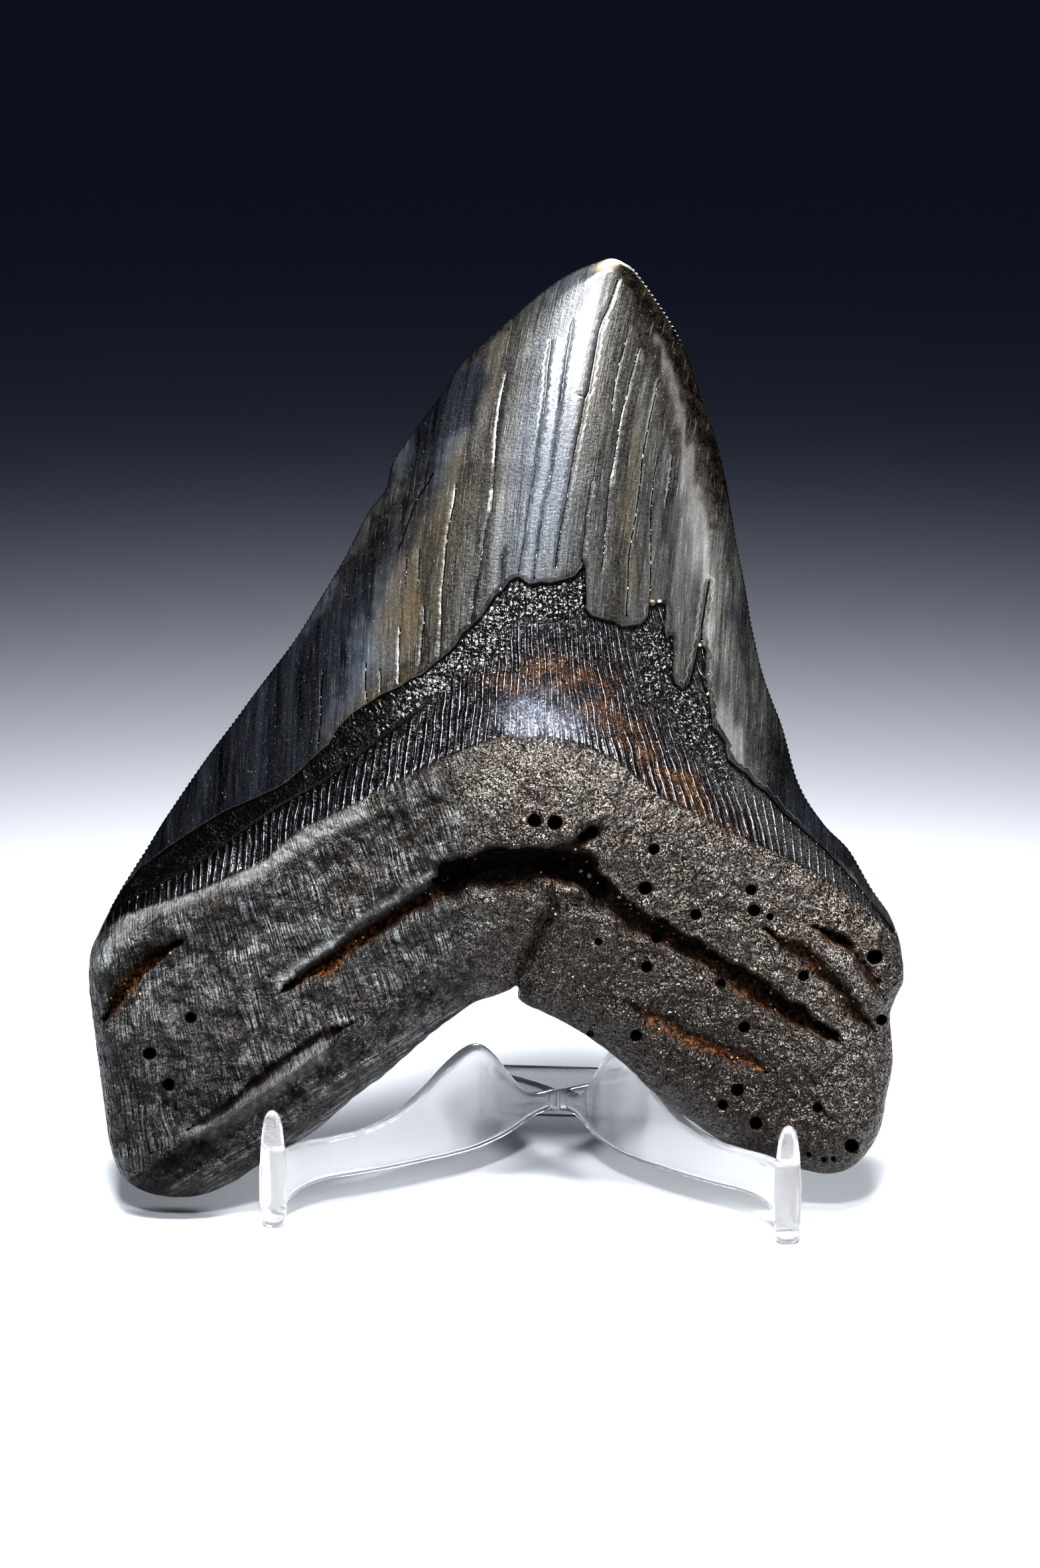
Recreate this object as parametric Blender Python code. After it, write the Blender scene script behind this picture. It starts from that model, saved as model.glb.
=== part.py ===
"""A large fossil shark tooth leaning on a clear moulded display stand.

Two pieces: the tooth, which is one natural solid, and the stand, which is one
plastic moulding. Sizes below are in millimetres; the meshes are in metres.
The tooth is drawn in its own plane, x across and z along the crown, with y
running through its thickness from the inner face (-y) to the outer one (+y).
"""

import math

import bmesh
import bpy
import numpy as np
from mathutils import Matrix
from mathutils.geometry import delaunay_2d_cdt

MM = 0.001

# How the two pieces stand on the surface
TOOTH_LEAN = math.radians(12.0)
TOOTH_AT = (3.57, -18.67, 1.6)
STAND_TURN = math.radians(-6.0)
STAND_AT = (4.87, -29.67, 0.0)

# Crown: height range, thickness each side of the cutting edges, and how blunt its section is
CROWN_TOP = 142.0
CROWN_BASE = 60.0
CROWN_FRONT = 12.5
CROWN_BACK = 6.0
TIP_FRONT = 1.6
TIP_BACK = 1.0
CROWN_GROWTH = 0.8
FRONT_BLUNTNESS = 0.8
BACK_BLUNTNESS = 0.9

# Root: thickness each side, the swelling below the crown and the rounding of its edges
ROOT_FRONT = 8.2
ROOT_BACK = 7.2
ROOT_SWELL = 8.5
ROOT_SWELL_AT = (4.0, 58.0)
ROOT_SWELL_SIZE = (27.0, 17.0)
BACK_SWELL = 1.2
BACK_SWELL_AT = (0.0, 46.0)
BACK_SWELL_SIZE = (34.0, 18.0)
ROOT_EDGE_FRONT = 6.0
ROOT_EDGE_BACK = 5.5
ARCH_ROUNDING = 5.0
ARCH_AT = (0.0, 36.0)
ARCH_SIZE = (18.0, 14.0)

# Where root eases into crown: from the root's top line in front, by height behind
FRONT_EASE = (-6.0, 8.0)
BACK_EASE = (38.0, 52.0)
SHOULDER = 46.0

# Steps of the enamel's lower edge, which fade out towards the cutting edges
ENAMEL_STEP = 0.8
OUTER_ENAMEL_STEP = 0.5
STEP_WIDTH = 0.7
STEP_FADE = 4.0
RELIEF_FADE = 3.0
LEAST_WALL = 0.25

# Tooth: mesh spacing on each face
FRONT_SPACING = 2.35
BACK_SPACING = 3.6
EDGE_SPACING = 2.3
FEATURE_SPACING = 0.5
RIM_ROW = 0.9
ROUNDING_ROW = 0.36
RIM_CLEARANCE = 0.75
CURVE_STEPS = 12

# Outline of the tooth, from the tip down each side and along the root
TIP = [(11.5, 141.8), (13.4, 142.3), (15.1, 142.1)]
RIGHT_EDGE = [
    (17.0, 140.8), (18.4, 139.1), (21.4, 134.8), (23.7, 131.0), (25.6, 126.6),
    (27.8, 120.2), (29.9, 113.9), (31.2, 108.0), (32.7, 99.4), (33.8, 93.8),
    (35.1, 86.3), (36.7, 79.4), (39.6, 71.5), (42.1, 63.0), (45.7, 57.1),
    (49.6, 53.1), (52.8, 47.7), (56.3, 42.4),
]
RIGHT_LOBE = [
    (57.6, 37.9), (57.9, 33.4), (56.4, 30.0), (55.9, 27.6), (56.3, 21.4),
    (55.4, 16.0), (54.1, 10.2), (50.6, 5.6), (46.5, 4.2), (42.0, 4.9),
    (38.0, 5.5), (33.9, 7.1), (28.0, 10.6), (23.0, 14.1), (19.2, 17.2),
    (15.7, 20.6), (11.3, 24.1), (6.0, 27.3), (1.5, 29.3),
]
NOTCH = [(-0.3, 30.6), (-0.5, 32.4), (-1.9, 31.6)]
LEFT_LOBE = [
    (-6.7, 30.0), (-9.5, 28.1), (-13.7, 24.9), (-20.7, 18.9), (-24.8, 15.8),
    (-29.6, 11.7), (-32.5, 9.6), (-39.4, 5.4), (-44.1, 2.4), (-48.9, 0.8),
    (-53.0, 0.7), (-57.0, 1.7), (-60.2, 4.2), (-61.9, 8.7), (-62.8, 14.6),
    (-64.5, 27.6), (-65.1, 33.5), (-64.8, 37.7),
]
LEFT_EDGE = [
    (-63.6, 40.6), (-61.3, 45.3), (-57.7, 51.2), (-50.0, 63.1), (-41.8, 74.3),
    (-34.1, 84.6), (-30.2, 90.9), (-26.6, 96.9), (-23.0, 103.8), (-20.3, 107.5),
    (-19.5, 111.2), (-15.8, 115.0), (-11.6, 122.1), (-8.4, 127.0), (-2.0, 132.7),
    (4.4, 138.0), (7.4, 139.9),
]

# Where the root begins, on the inner face, from the left shoulder to the right
ROOT_TOP = [
    (-65.5, 38.5), (-59.0, 42.4), (-50.7, 45.4), (-42.8, 47.9), (-36.4, 53.2),
    (-24.4, 60.1), (-12.2, 66.2), (-3.0, 70.0), (4.7, 69.7), (12.9, 67.2),
    (21.3, 60.8), (28.7, 57.2), (35.3, 53.9), (43.1, 48.2), (50.6, 43.2),
    (58.0, 38.5),
]

# Lower edge of the enamel, inner face: a chevron with a broken, stepped right arm
ENAMEL_EDGE = [
    (-63.0, 41.4), (-54.4, 54.2), (-36.4, 62.4), (-28.7, 69.0), (-22.8, 75.1),
    (-14.6, 79.5), (-9.5, 83.9), (-5.7, 88.2), (-0.3, 94.1), (4.5, 93.1),
    (8.8, 94.8), (9.9, 89.2), (14.0, 87.3), (18.3, 86.9), (20.0, 90.2),
    (21.9, 85.4), (23.3, 79.2), (25.6, 79.0), (27.9, 83.0), (28.6, 75.5),
    (31.2, 66.8), (37.0, 60.0), (45.6, 53.2), (51.6, 46.7), (55.6, 42.4),
]

# Lower edge of the enamel, outer face: a shallow chevron
OUTER_ENAMEL_EDGE = [
    (-63.0, 41.4), (-48.0, 47.0), (-30.0, 50.5), (-12.0, 55.5), (-2.0, 59.0),
    (8.0, 56.0), (24.0, 51.0), (40.0, 47.5), (55.6, 42.4),
]

# Grooves of the inner face: centre line, half width, depth
GROOVES = [
    ([(-35.9, 32.1), (-28.8, 36.8), (-21.0, 42.4), (-14.0, 46.8), (-9.0, 49.8)], 1.5, 1.6),
    ([(-10.5, 49.4), (-3.5, 51.3), (4.0, 51.2), (8.8, 52.0)], 2.3, 4.2),
    ([(8.8, 51.6), (14.0, 46.4), (18.6, 42.2), (24.0, 39.8), (32.7, 34.6), (38.0, 30.6),
      (44.3, 27.0), (48.0, 24.6)], 1.7, 1.8),
    ([(5.0, 49.0), (5.0, 44.0), (2.4, 38.6), (0.2, 35.6), (-0.4, 32.8)], 1.0, 1.3),
    ([(-51.0, 39.2), (-55.4, 36.6), (-58.6, 32.9), (-61.8, 27.8)], 1.7, 2.2),
    ([(36.7, 41.0), (42.6, 37.4), (47.8, 33.0), (51.0, 28.6), (53.2, 26.4)], 1.3, 1.2),
    ([(49.0, 38.4), (52.0, 35.2), (54.6, 31.2)], 1.2, 1.3),
    ([(15.7, 30.3), (21.6, 26.6), (28.6, 23.6), (37.6, 19.8)], 1.2, 0.7),
    ([(-50.2, 11.0), (-37.9, 19.4), (-25.1, 27.2)], 0.9, 0.7),
]

# Raised rims of the inner face: centre line, half width, height
RIMS = [
    ([(-62.0, 37.6), (-50.7, 42.6), (-38.0, 48.0), (-24.4, 57.6), (-10.0, 64.6)], 2.6, 0.9),
    ([(44.0, 41.0), (48.6, 36.0), (52.6, 29.6)], 1.8, 0.8),
]

# Bore holes of the inner face: centre, radius
BORES = [
    ((2.2, 57.4), 1.1), ((5.4, 57.1), 1.2), ((9.9, 55.5), 1.1), ((20.2, 53.1), 0.9),
    ((18.9, 47.3), 1.1), ((26.5, 43.3), 0.9), ((34.9, 47.0), 0.9), ((35.4, 43.9), 1.0),
    ((42.8, 34.0), 0.9), ((53.2, 37.0), 1.0), ((54.1, 27.7), 0.9), ((19.1, 35.3), 0.9),
    ((30.4, 32.7), 0.9), ((33.8, 26.3), 0.9), ((17.4, 25.3), 1.0), ((32.8, 16.9), 1.0),
    ((35.4, 12.1), 1.0), ((49.6, 8.9), 1.1), ((44.9, 14.1), 0.9), ((46.5, 39.7), 1.4),
    ((-53.0, 17.6), 1.2), ((-55.8, 22.4), 1.2), ((-49.7, 27.7), 1.2),
]
BORE_DEPTH = 2.0

# Folds and bore holes of the outer face, in the same terms
OUTER_GROOVES = [
    ([(-36.0, 43.0), (-33.6, 30.0), (-34.6, 17.0)], 1.7, 0.8),
    ([(-17.0, 49.0), (-13.6, 40.0), (-12.4, 31.0)], 1.5, 0.7),
    ([(15.0, 49.0), (13.6, 40.0), (12.0, 31.0)], 1.5, 0.7),
    ([(33.0, 43.0), (33.4, 30.0), (36.0, 16.0)], 1.7, 0.8),
]
OUTER_BORES = [
    ((-45.0, 32.0), 0.9), ((-24.0, 38.0), 0.9), ((2.4, 46.0), 1.0), ((21.0, 39.0), 0.9),
    ((42.0, 28.0), 0.9), ((-51.0, 18.0), 0.9),
]

# Stand: one symmetric moulding, drawn with its posts on y = 0 and its foot behind
POST_SPAN = 76.6
POST_HEIGHT = 18.1
POST_WIDTH = 4.2
POST_DEPTH = 3.6
POST_SIDES = 12
# Share of the full width at each share of the height
POST_PROFILE = [
    (0.52, 0.0), (0.86, 0.10), (1.0, 0.25), (0.98, 0.50), (0.86, 0.72),
    (0.70, 0.88), (0.50, 0.95), (0.22, 1.0),
]
WALL = 1.8
WALL_EDGE = 0.5
WALL_SPACING = 2.6
FOOT_SPAN = 26.0
FOOT_BACK = 63.0
FOOT_HEIGHT = 8.0
FOOT_DEPTH = 2.25

# Right wing: x, y of its centre line, then the heights of its lower and upper edges
WING = [
    (38.3, 0.6, 1.5, 12.4), (37.0, 3.9, 2.9, 11.1), (34.8, 7.2, 4.0, 11.15),
    (31.4, 10.2, 4.5, 11.1), (26.8, 13.5, 4.5, 11.5), (22.2, 17.2, 4.5, 13.1),
    (18.5, 20.6, 4.5, 15.9), (15.3, 23.6, 4.5, 19.1), (12.8, 26.4, 4.5, 20.9),
    (10.8, 28.8, 4.6, 21.2), (9.0, 31.6, 4.8, 18.9), (7.4, 34.4, 5.0, 15.6),
    (5.8, 38.0, 5.4, 12.2), (4.0, 42.0, 5.9, 9.8), (0.6, 46.6, 6.3, 9.2),
]

# Right rear leg: from the hub down to the foot, in the same terms
REAR_LEG = [
    (0.4, 45.4, 6.0, 9.4), (3.2, 50.0, 4.2, 8.9), (7.0, 55.0, 2.2, 8.4),
    (10.4, 59.6, 0.6, 8.0), (12.2, 63.0, 0.0, 8.0),
]

TOOTH_COLOUR = (0.045, 0.048, 0.055, 1.0)
TOOTH_ROUGHNESS = 0.32
PLASTIC_COLOUR = (0.93, 0.95, 0.96, 1.0)
PLASTIC_ROUGHNESS = 0.06


def clear_scene():
    for item in list(bpy.data.objects):
        bpy.data.objects.remove(item, do_unlink=True)


def new_collection(name):
    collection = bpy.data.collections.new(name)
    bpy.context.scene.collection.children.link(collection)
    return collection


def new_material(name, colour, roughness, transmission=0.0):
    material = bpy.data.materials.new(name)
    material.use_nodes = True
    shader = material.node_tree.nodes["Principled BSDF"]
    shader.inputs["Base Color"].default_value = colour
    shader.inputs["Roughness"].default_value = roughness
    shader.inputs["Metallic"].default_value = 0.0
    shader.inputs["Transmission Weight"].default_value = transmission
    material.diffuse_color = colour
    return material


def smooth_curve(points, spacing, closed=False):
    """Points evenly spaced along a smooth curve through the given ones."""
    given = np.array(points, dtype=float)
    if closed:
        padded = np.vstack([given[-1], given, given[0], given[1]])
    else:
        padded = np.vstack([2 * given[0] - given[1], given, 2 * given[-1] - given[-2]])
    t = np.linspace(0.0, 1.0, CURVE_STEPS, endpoint=False)[:, None]
    fine = []
    for a, b, c, d in zip(padded, padded[1:], padded[2:], padded[3:]):
        fine.append(0.5 * (2 * b + (c - a) * t + (2 * a - 5 * b + 4 * c - d) * t**2
                           + (3 * b - a - 3 * c + d) * t**3))
    fine = np.vstack(fine + [given[:1] if closed else given[-1:]])
    lengths = np.concatenate([[0.0], np.cumsum(np.linalg.norm(np.diff(fine, axis=0), axis=1))])
    count = max(2, int(round(lengths[-1] / spacing)))
    at = np.linspace(0.0, lengths[-1], count + 1)
    if closed:
        at = at[:-1]
    return np.column_stack([np.interp(at, lengths, column) for column in fine.T])


def distance_to(points, line):
    """Distance from each point to a polyline."""
    best = np.full(len(points), np.inf)
    for start, end in zip(line, line[1:]):
        run = end - start
        share = np.clip((points - start) @ run / max(run @ run, 1e-9), 0.0, 1.0)
        gap = points - (start + share[:, None] * run)
        best = np.minimum(best, np.hypot(gap[:, 0], gap[:, 1]))
    return best


def inside(points, loop):
    """Whether each point lies inside a closed loop."""
    x, z = points[:, 0], points[:, 1]
    odd = np.zeros(len(points), dtype=bool)
    for (x1, z1), (x2, z2) in zip(loop, np.roll(loop, -1, axis=0)):
        crosses = (z1 > z) != (z2 > z)
        rise = z2 - z1 if abs(z2 - z1) > 1e-9 else 1e-9
        odd ^= crosses & (x < (x2 - x1) * (z - z1) / rise + x1)
    return odd


def smooth_step(low, high, value):
    t = np.clip((value - low) / (high - low), 0.0, 1.0)
    return t * t * (3.0 - 2.0 * t)


def enamel_field(points, edge):
    """0 on the root and bourlette, 1 on the enamel, with a narrow step between."""
    line = np.array(edge)
    side, top = 1.2 * abs(line[0, 0]), 1.1 * CROWN_TOP
    around = [(side, line[-1, 1]), (side, top), (-side, top), (-side, line[0, 1])]
    away = distance_to(points, line)
    return np.where(inside(points, np.vstack([line, around])), smooth_step(0.0, STEP_WIDTH, away), 0.0)


def round_edge(away, radius):
    """A quarter circle's rise, 0 at the outline and 1 from one radius inward."""
    t = np.clip(away / radius, 0.0, 1.0)
    return np.sqrt(np.clip(1.0 - (1.0 - t) ** 2, 0.0, 1.0))


def crown_lens(points, power):
    """1 on the crown's middle line and 0 at its two cutting edges."""
    left = np.array([TIP[0]] + LEFT_EDGE[::-1])
    right = np.array([TIP[-1]] + RIGHT_EDGE)
    z = points[:, 1]
    low = np.interp(z, left[::-1, 1], left[::-1, 0])
    high = np.interp(z, right[::-1, 1], right[::-1, 0])
    across = np.clip((points[:, 0] - 0.5 * (low + high)) / (0.5 * (high - low)), -1.0, 1.0)
    return (1.0 - across**2) ** power


def crown_share(points):
    """0 on the root, 1 on the crown, easing across the bourlette."""
    top = np.array(ROOT_TOP)
    above = points[:, 1] - np.interp(points[:, 0], top[:, 0], top[:, 1])
    return smooth_step(*FRONT_EASE, above)


def crown_height(points, tip, growth, bluntness):
    """The crown's thickness on one side: thin at the tip and at both cutting edges."""
    taper = np.clip((CROWN_TOP - points[:, 1]) / (CROWN_TOP - CROWN_BASE), 0.0, 1.2)
    return (tip + growth * taper**CROWN_GROWTH) * crown_lens(points, bluntness)


def swell(points, centre, size):
    """A soft round swelling, 1 at its centre."""
    u = (points[:, 0] - centre[0]) / size[0]
    v = (points[:, 1] - centre[1]) / size[1]
    return np.exp(-(u * u) - v * v)


def along_lines(points, lines):
    """Sum of soft-sided grooves or rims, each by its own width and height."""
    total = np.zeros(len(points))
    for line, half_width, height in lines:
        away = distance_to(points, smooth_curve(line, 1.5))
        total += height * np.clip(1.0 - (away / (1.6 * half_width)) ** 2, 0.0, 1.0) ** 1.5
    return total


def bore_depth(points, bores):
    total = np.zeros(len(points))
    for centre, radius in bores:
        away = np.hypot(points[:, 0] - centre[0], points[:, 1] - centre[1])
        total += BORE_DEPTH * radius * (1.0 - smooth_step(0.45 * radius, 1.05 * radius, away))
    return total


def front_height(points, outline):
    """How far the inner face stands in front of the cutting edges."""
    away = distance_to(points, outline)
    crown = crown_height(points, TIP_FRONT, CROWN_FRONT, FRONT_BLUNTNESS)
    radius = ROOT_EDGE_FRONT + ARCH_ROUNDING * swell(points, ARCH_AT, ARCH_SIZE)
    root = ROOT_FRONT + ROOT_SWELL * swell(points, ROOT_SWELL_AT, ROOT_SWELL_SIZE)
    share = crown_share(points)
    height = share * crown + (1.0 - share) * root * round_edge(away, radius)
    height += ENAMEL_STEP * enamel_field(points, ENAMEL_EDGE) * smooth_step(0.0, STEP_FADE, away)
    relief = along_lines(points, RIMS) - along_lines(points, GROOVES)
    height += relief * smooth_step(0.0, RELIEF_FADE, away)
    height -= bore_depth(points, BORES)
    return np.maximum(height, LEAST_WALL)


def back_height(points, outline):
    """How far the outer face stands behind the cutting edges."""
    away = distance_to(points, outline)
    crown = crown_height(points, TIP_BACK, CROWN_BACK, BACK_BLUNTNESS)
    root = ROOT_BACK + BACK_SWELL * swell(points, BACK_SWELL_AT, BACK_SWELL_SIZE)
    share = smooth_step(*BACK_EASE, points[:, 1])
    height = share * crown + (1.0 - share) * root * round_edge(away, ROOT_EDGE_BACK)
    enamel = enamel_field(points, OUTER_ENAMEL_EDGE)
    height += OUTER_ENAMEL_STEP * enamel * smooth_step(0.0, STEP_FADE, away)
    height -= along_lines(points, OUTER_GROOVES) * smooth_step(0.0, RELIEF_FADE, away)
    height -= bore_depth(points, OUTER_BORES)
    return np.maximum(height, LEAST_WALL)


def to_the_left(line):
    """Unit vectors square to a line, on its left."""
    along = np.gradient(line, axis=0)
    side = np.column_stack([-along[:, 1], along[:, 0]])
    return side / np.linalg.norm(side, axis=1)[:, None]


def feature_points(enamel_edge, grooves, bores, spacing):
    """Points that follow the enamel step, the grooves and the bore holes."""
    edge = smooth_curve(enamel_edge, spacing * 0.8)
    found = [edge, edge + 1.1 * STEP_WIDTH * to_the_left(edge)]
    for line, half_width, _ in grooves:
        middle = smooth_curve(line, spacing * 0.9)
        side = 1.5 * half_width * to_the_left(middle)
        found += [middle, middle + side, middle - side]
    for centre, radius in bores:
        turn = np.arange(6) * math.pi / 3
        ring = radius * np.column_stack([np.cos(turn), np.sin(turn)])
        found += [np.array([centre]), centre + 0.6 * ring, centre + 1.15 * ring]
    return np.vstack(found)


def rim_rows(outline, radius):
    """A row of points just inside the outline, and another inside the root's rounded edge."""
    along = np.roll(outline, -1, axis=0) - np.roll(outline, 1, axis=0)
    inward = np.column_stack([along[:, 1], -along[:, 0]])
    inward /= np.linalg.norm(inward, axis=1)[:, None]
    rounded = outline[:, 1] < SHOULDER
    second = outline[rounded] + ROUNDING_ROW * radius * inward[rounded]
    return np.vstack([outline + RIM_ROW * inward, second])


def thin_out(groups):
    """Keep each point that is not too near one kept before it, by its group's own distance."""
    kept = np.empty((0, 2))
    for points, least in groups:
        for point in points:
            if len(kept) == 0 or np.min(np.hypot(*(kept - point).T)) >= least:
                kept = np.vstack([kept, point])
    return kept


def hex_grid(outline, spacing):
    """Points in staggered rows that cover the outline's box."""
    low, high = outline.min(axis=0), outline.max(axis=0)
    rows = []
    for row, z in enumerate(np.arange(low[1], high[1], spacing * math.sin(math.pi / 3))):
        x = np.arange(low[0], high[0], spacing) + 0.5 * spacing * (row % 2)
        rows.append(np.column_stack([x, np.full(len(x), z)]))
    return np.vstack(rows)


def triangulate(outline, interior):
    """Triangles that fill the outline, with no edge that cuts across from rim to rim."""
    rim = len(outline)
    extra = interior
    while True:
        points = [tuple(p) for p in np.vstack([outline, extra])]
        edges = [(i, (i + 1) % rim) for i in range(rim)]
        out = delaunay_2d_cdt(points, edges, [], 1, 1e-6)
        coords, faces = np.array([tuple(v) for v in out[0]]), out[2]
        chords = set()
        for face in faces:
            for a, b in zip(face, face[1:] + face[:1]):
                if a < rim and b < rim and (b - a) % rim != 1 and (a - b) % rim != 1:
                    chords.add((min(a, b), max(a, b)))
        if not chords:
            return coords, faces
        middles = np.array([0.5 * (coords[a] + coords[b]) for a, b in sorted(chords)])
        extra = np.vstack([extra, middles])


def face_mesh(outline, spacing, radius, features):
    """One face of the tooth as flat points and triangles inside the outline."""
    groups = [
        (features, FEATURE_SPACING),
        (rim_rows(outline, radius), 0.5 * spacing),
        (hex_grid(outline, spacing), 0.6 * spacing),
    ]
    closed = np.vstack([outline, outline[:1]])
    clear = []
    for points, least in groups:
        points = points[inside(points, outline)]
        clear.append((points[distance_to(points, closed) > RIM_CLEARANCE], least))
    return triangulate(outline, thin_out(clear))


def build_tooth(collection):
    loop = TIP + RIGHT_EDGE + RIGHT_LOBE + NOTCH + LEFT_LOBE + LEFT_EDGE
    outline = smooth_curve(loop, EDGE_SPACING, closed=True)
    closed = np.vstack([outline, outline[:1]])
    features = feature_points(ENAMEL_EDGE, GROOVES, BORES, FRONT_SPACING)
    front, front_faces = face_mesh(outline, FRONT_SPACING, ROOT_EDGE_FRONT, features)
    features = feature_points(OUTER_ENAMEL_EDGE, OUTER_GROOVES, OUTER_BORES, BACK_SPACING)
    back, back_faces = face_mesh(outline, BACK_SPACING, ROOT_EDGE_BACK, features)
    rim = len(outline)
    shape = bmesh.new()
    edge_verts = [shape.verts.new((x * MM, 0.0, z * MM)) for x, z in outline]
    sides = (
        (front, front_faces, -front_height(front, closed), True),
        (back, back_faces, back_height(back, closed), False),
    )
    for points, faces, depth, faces_front in sides:
        verts = edge_verts + [
            shape.verts.new((x * MM, y * MM, z * MM))
            for (x, z), y in zip(points[rim:], depth[rim:])
        ]
        for face in faces:
            order = face if faces_front else face[::-1]
            shape.faces.new([verts[i] for i in order])
    bmesh.ops.recalc_face_normals(shape, faces=shape.faces)
    mesh = bpy.data.meshes.new("megalodon_tooth")
    shape.to_mesh(mesh)
    shape.free()
    mesh.shade_smooth()
    tooth = bpy.data.objects.new("megalodon_tooth", mesh)
    tooth.location = [value * MM for value in TOOTH_AT]
    tooth.rotation_euler = (-TOOTH_LEAN, 0.0, 0.0)
    mesh.materials.append(new_material("fossil enamel and root", TOOTH_COLOUR, TOOTH_ROUGHNESS))
    collection.objects.link(tooth)
    return tooth


def wall_object(name, stations, mirrored, collection):
    """A thin wall lofted along a plan line, with all its long edges eased."""
    line = smooth_curve(stations, WALL_SPACING)
    if mirrored:
        line[:, 0] *= -1.0
    half = 0.5 * WALL
    shape = bmesh.new()
    rings = []
    for (x, y, low, high), (across_x, across_y) in zip(line, to_the_left(line[:, :2])):
        section = [
            (-half, low + WALL_EDGE), (-half + WALL_EDGE, low), (half - WALL_EDGE, low),
            (half, low + WALL_EDGE), (half, high - WALL_EDGE), (half - WALL_EDGE, high),
            (-half + WALL_EDGE, high), (-half, high - WALL_EDGE),
        ]
        rings.append([
            shape.verts.new(((x + s * across_x) * MM, (y + s * across_y) * MM, z * MM))
            for s, z in section
        ])
    for ring, following in zip(rings, rings[1:]):
        for i in range(len(ring)):
            j = (i + 1) % len(ring)
            shape.faces.new((ring[i], ring[j], following[j], following[i]))
    shape.faces.new(rings[0][::-1])
    shape.faces.new(rings[-1])
    bmesh.ops.recalc_face_normals(shape, faces=shape.faces)
    return mesh_object(name, shape, collection)


def mesh_object(name, shape, collection):
    mesh = bpy.data.meshes.new(name)
    shape.to_mesh(mesh)
    shape.free()
    item = bpy.data.objects.new(name, mesh)
    collection.objects.link(item)
    return item


def post_object(name, side, collection):
    """A tapering oval post with a domed top and a small flat foot."""
    shape = bmesh.new()
    rings = []
    for scale, share in POST_PROFILE:
        ring = []
        for step in range(POST_SIDES):
            turn = 2.0 * math.pi * step / POST_SIDES
            x = side * 0.5 * POST_SPAN + 0.5 * POST_WIDTH * scale * math.cos(turn)
            y = 0.5 * POST_DEPTH * scale * math.sin(turn)
            ring.append(shape.verts.new((x * MM, y * MM, share * POST_HEIGHT * MM)))
        rings.append(ring)
    for ring, following in zip(rings, rings[1:]):
        for i in range(POST_SIDES):
            j = (i + 1) % POST_SIDES
            shape.faces.new((ring[i], ring[j], following[j], following[i]))
    shape.faces.new(rings[0][::-1])
    shape.faces.new(rings[-1])
    bmesh.ops.recalc_face_normals(shape, faces=shape.faces)
    return mesh_object(name, shape, collection)


def foot_object(collection):
    """The straight bar across the back, whose flat underside rests on the surface."""
    shape = bmesh.new()
    middle = Matrix.Translation((0.0, FOOT_BACK * MM, 0.5 * FOOT_HEIGHT * MM))
    size = Matrix.Diagonal((FOOT_SPAN * MM, FOOT_DEPTH * MM, FOOT_HEIGHT * MM, 1.0))
    bmesh.ops.create_cube(shape, size=1.0, matrix=middle @ size)
    return mesh_object("rear_foot_form", shape, collection)


def build_stand(collection, forms):
    """Wings, rear legs, posts and foot, joined in one moulding."""
    body = foot_object(collection)
    joined = []
    for side, word in ((1, "right"), (-1, "left")):
        joined.append(wall_object(word + "_wing_form", WING, side < 0, forms))
        joined.append(wall_object(word + "_leg_form", REAR_LEG, side < 0, forms))
        joined.append(post_object(word + "_post_form", side, forms))
    for form in joined:
        form.hide_render = True
        form.display_type = "WIRE"
        union = body.modifiers.new(form.name, "BOOLEAN")
        union.operation = "UNION"
        union.object = form
        union.solver = "EXACT"
    place = Matrix.Translation([value * MM for value in STAND_AT])
    place = place @ Matrix.Rotation(STAND_TURN, 4, "Z")
    for item in joined + [body]:
        item.matrix_world = place
    body.name = "display_stand"
    body.data.name = "display_stand"
    plastic = new_material("clear moulded plastic", PLASTIC_COLOUR, PLASTIC_ROUGHNESS, 1.0)
    body.data.materials.append(plastic)
    return body


def main():
    clear_scene()
    parts = new_collection("megalodon tooth on stand")
    forms = new_collection("stand forms")
    build_tooth(parts)
    build_stand(parts, forms)


main()
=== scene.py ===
"""A large fossil shark tooth with sand in its root, leaning on a clear moulded stand.

The tooth is drawn in its own plane in millimetres: u across, v up the crown, and the
height of each face is measured from the cutting edges' plane. Detail of the inner face
is laid out as it is seen from EYE_DISTANCE in front of that plane.
"""

import math
from types import SimpleNamespace

import bmesh
import bpy
import numpy as np
from bpy.props import FloatProperty, FloatVectorProperty, IntProperty, PointerProperty
from mathutils import Matrix, Vector, noise
from mathutils.geometry import delaunay_2d_cdt


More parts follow.
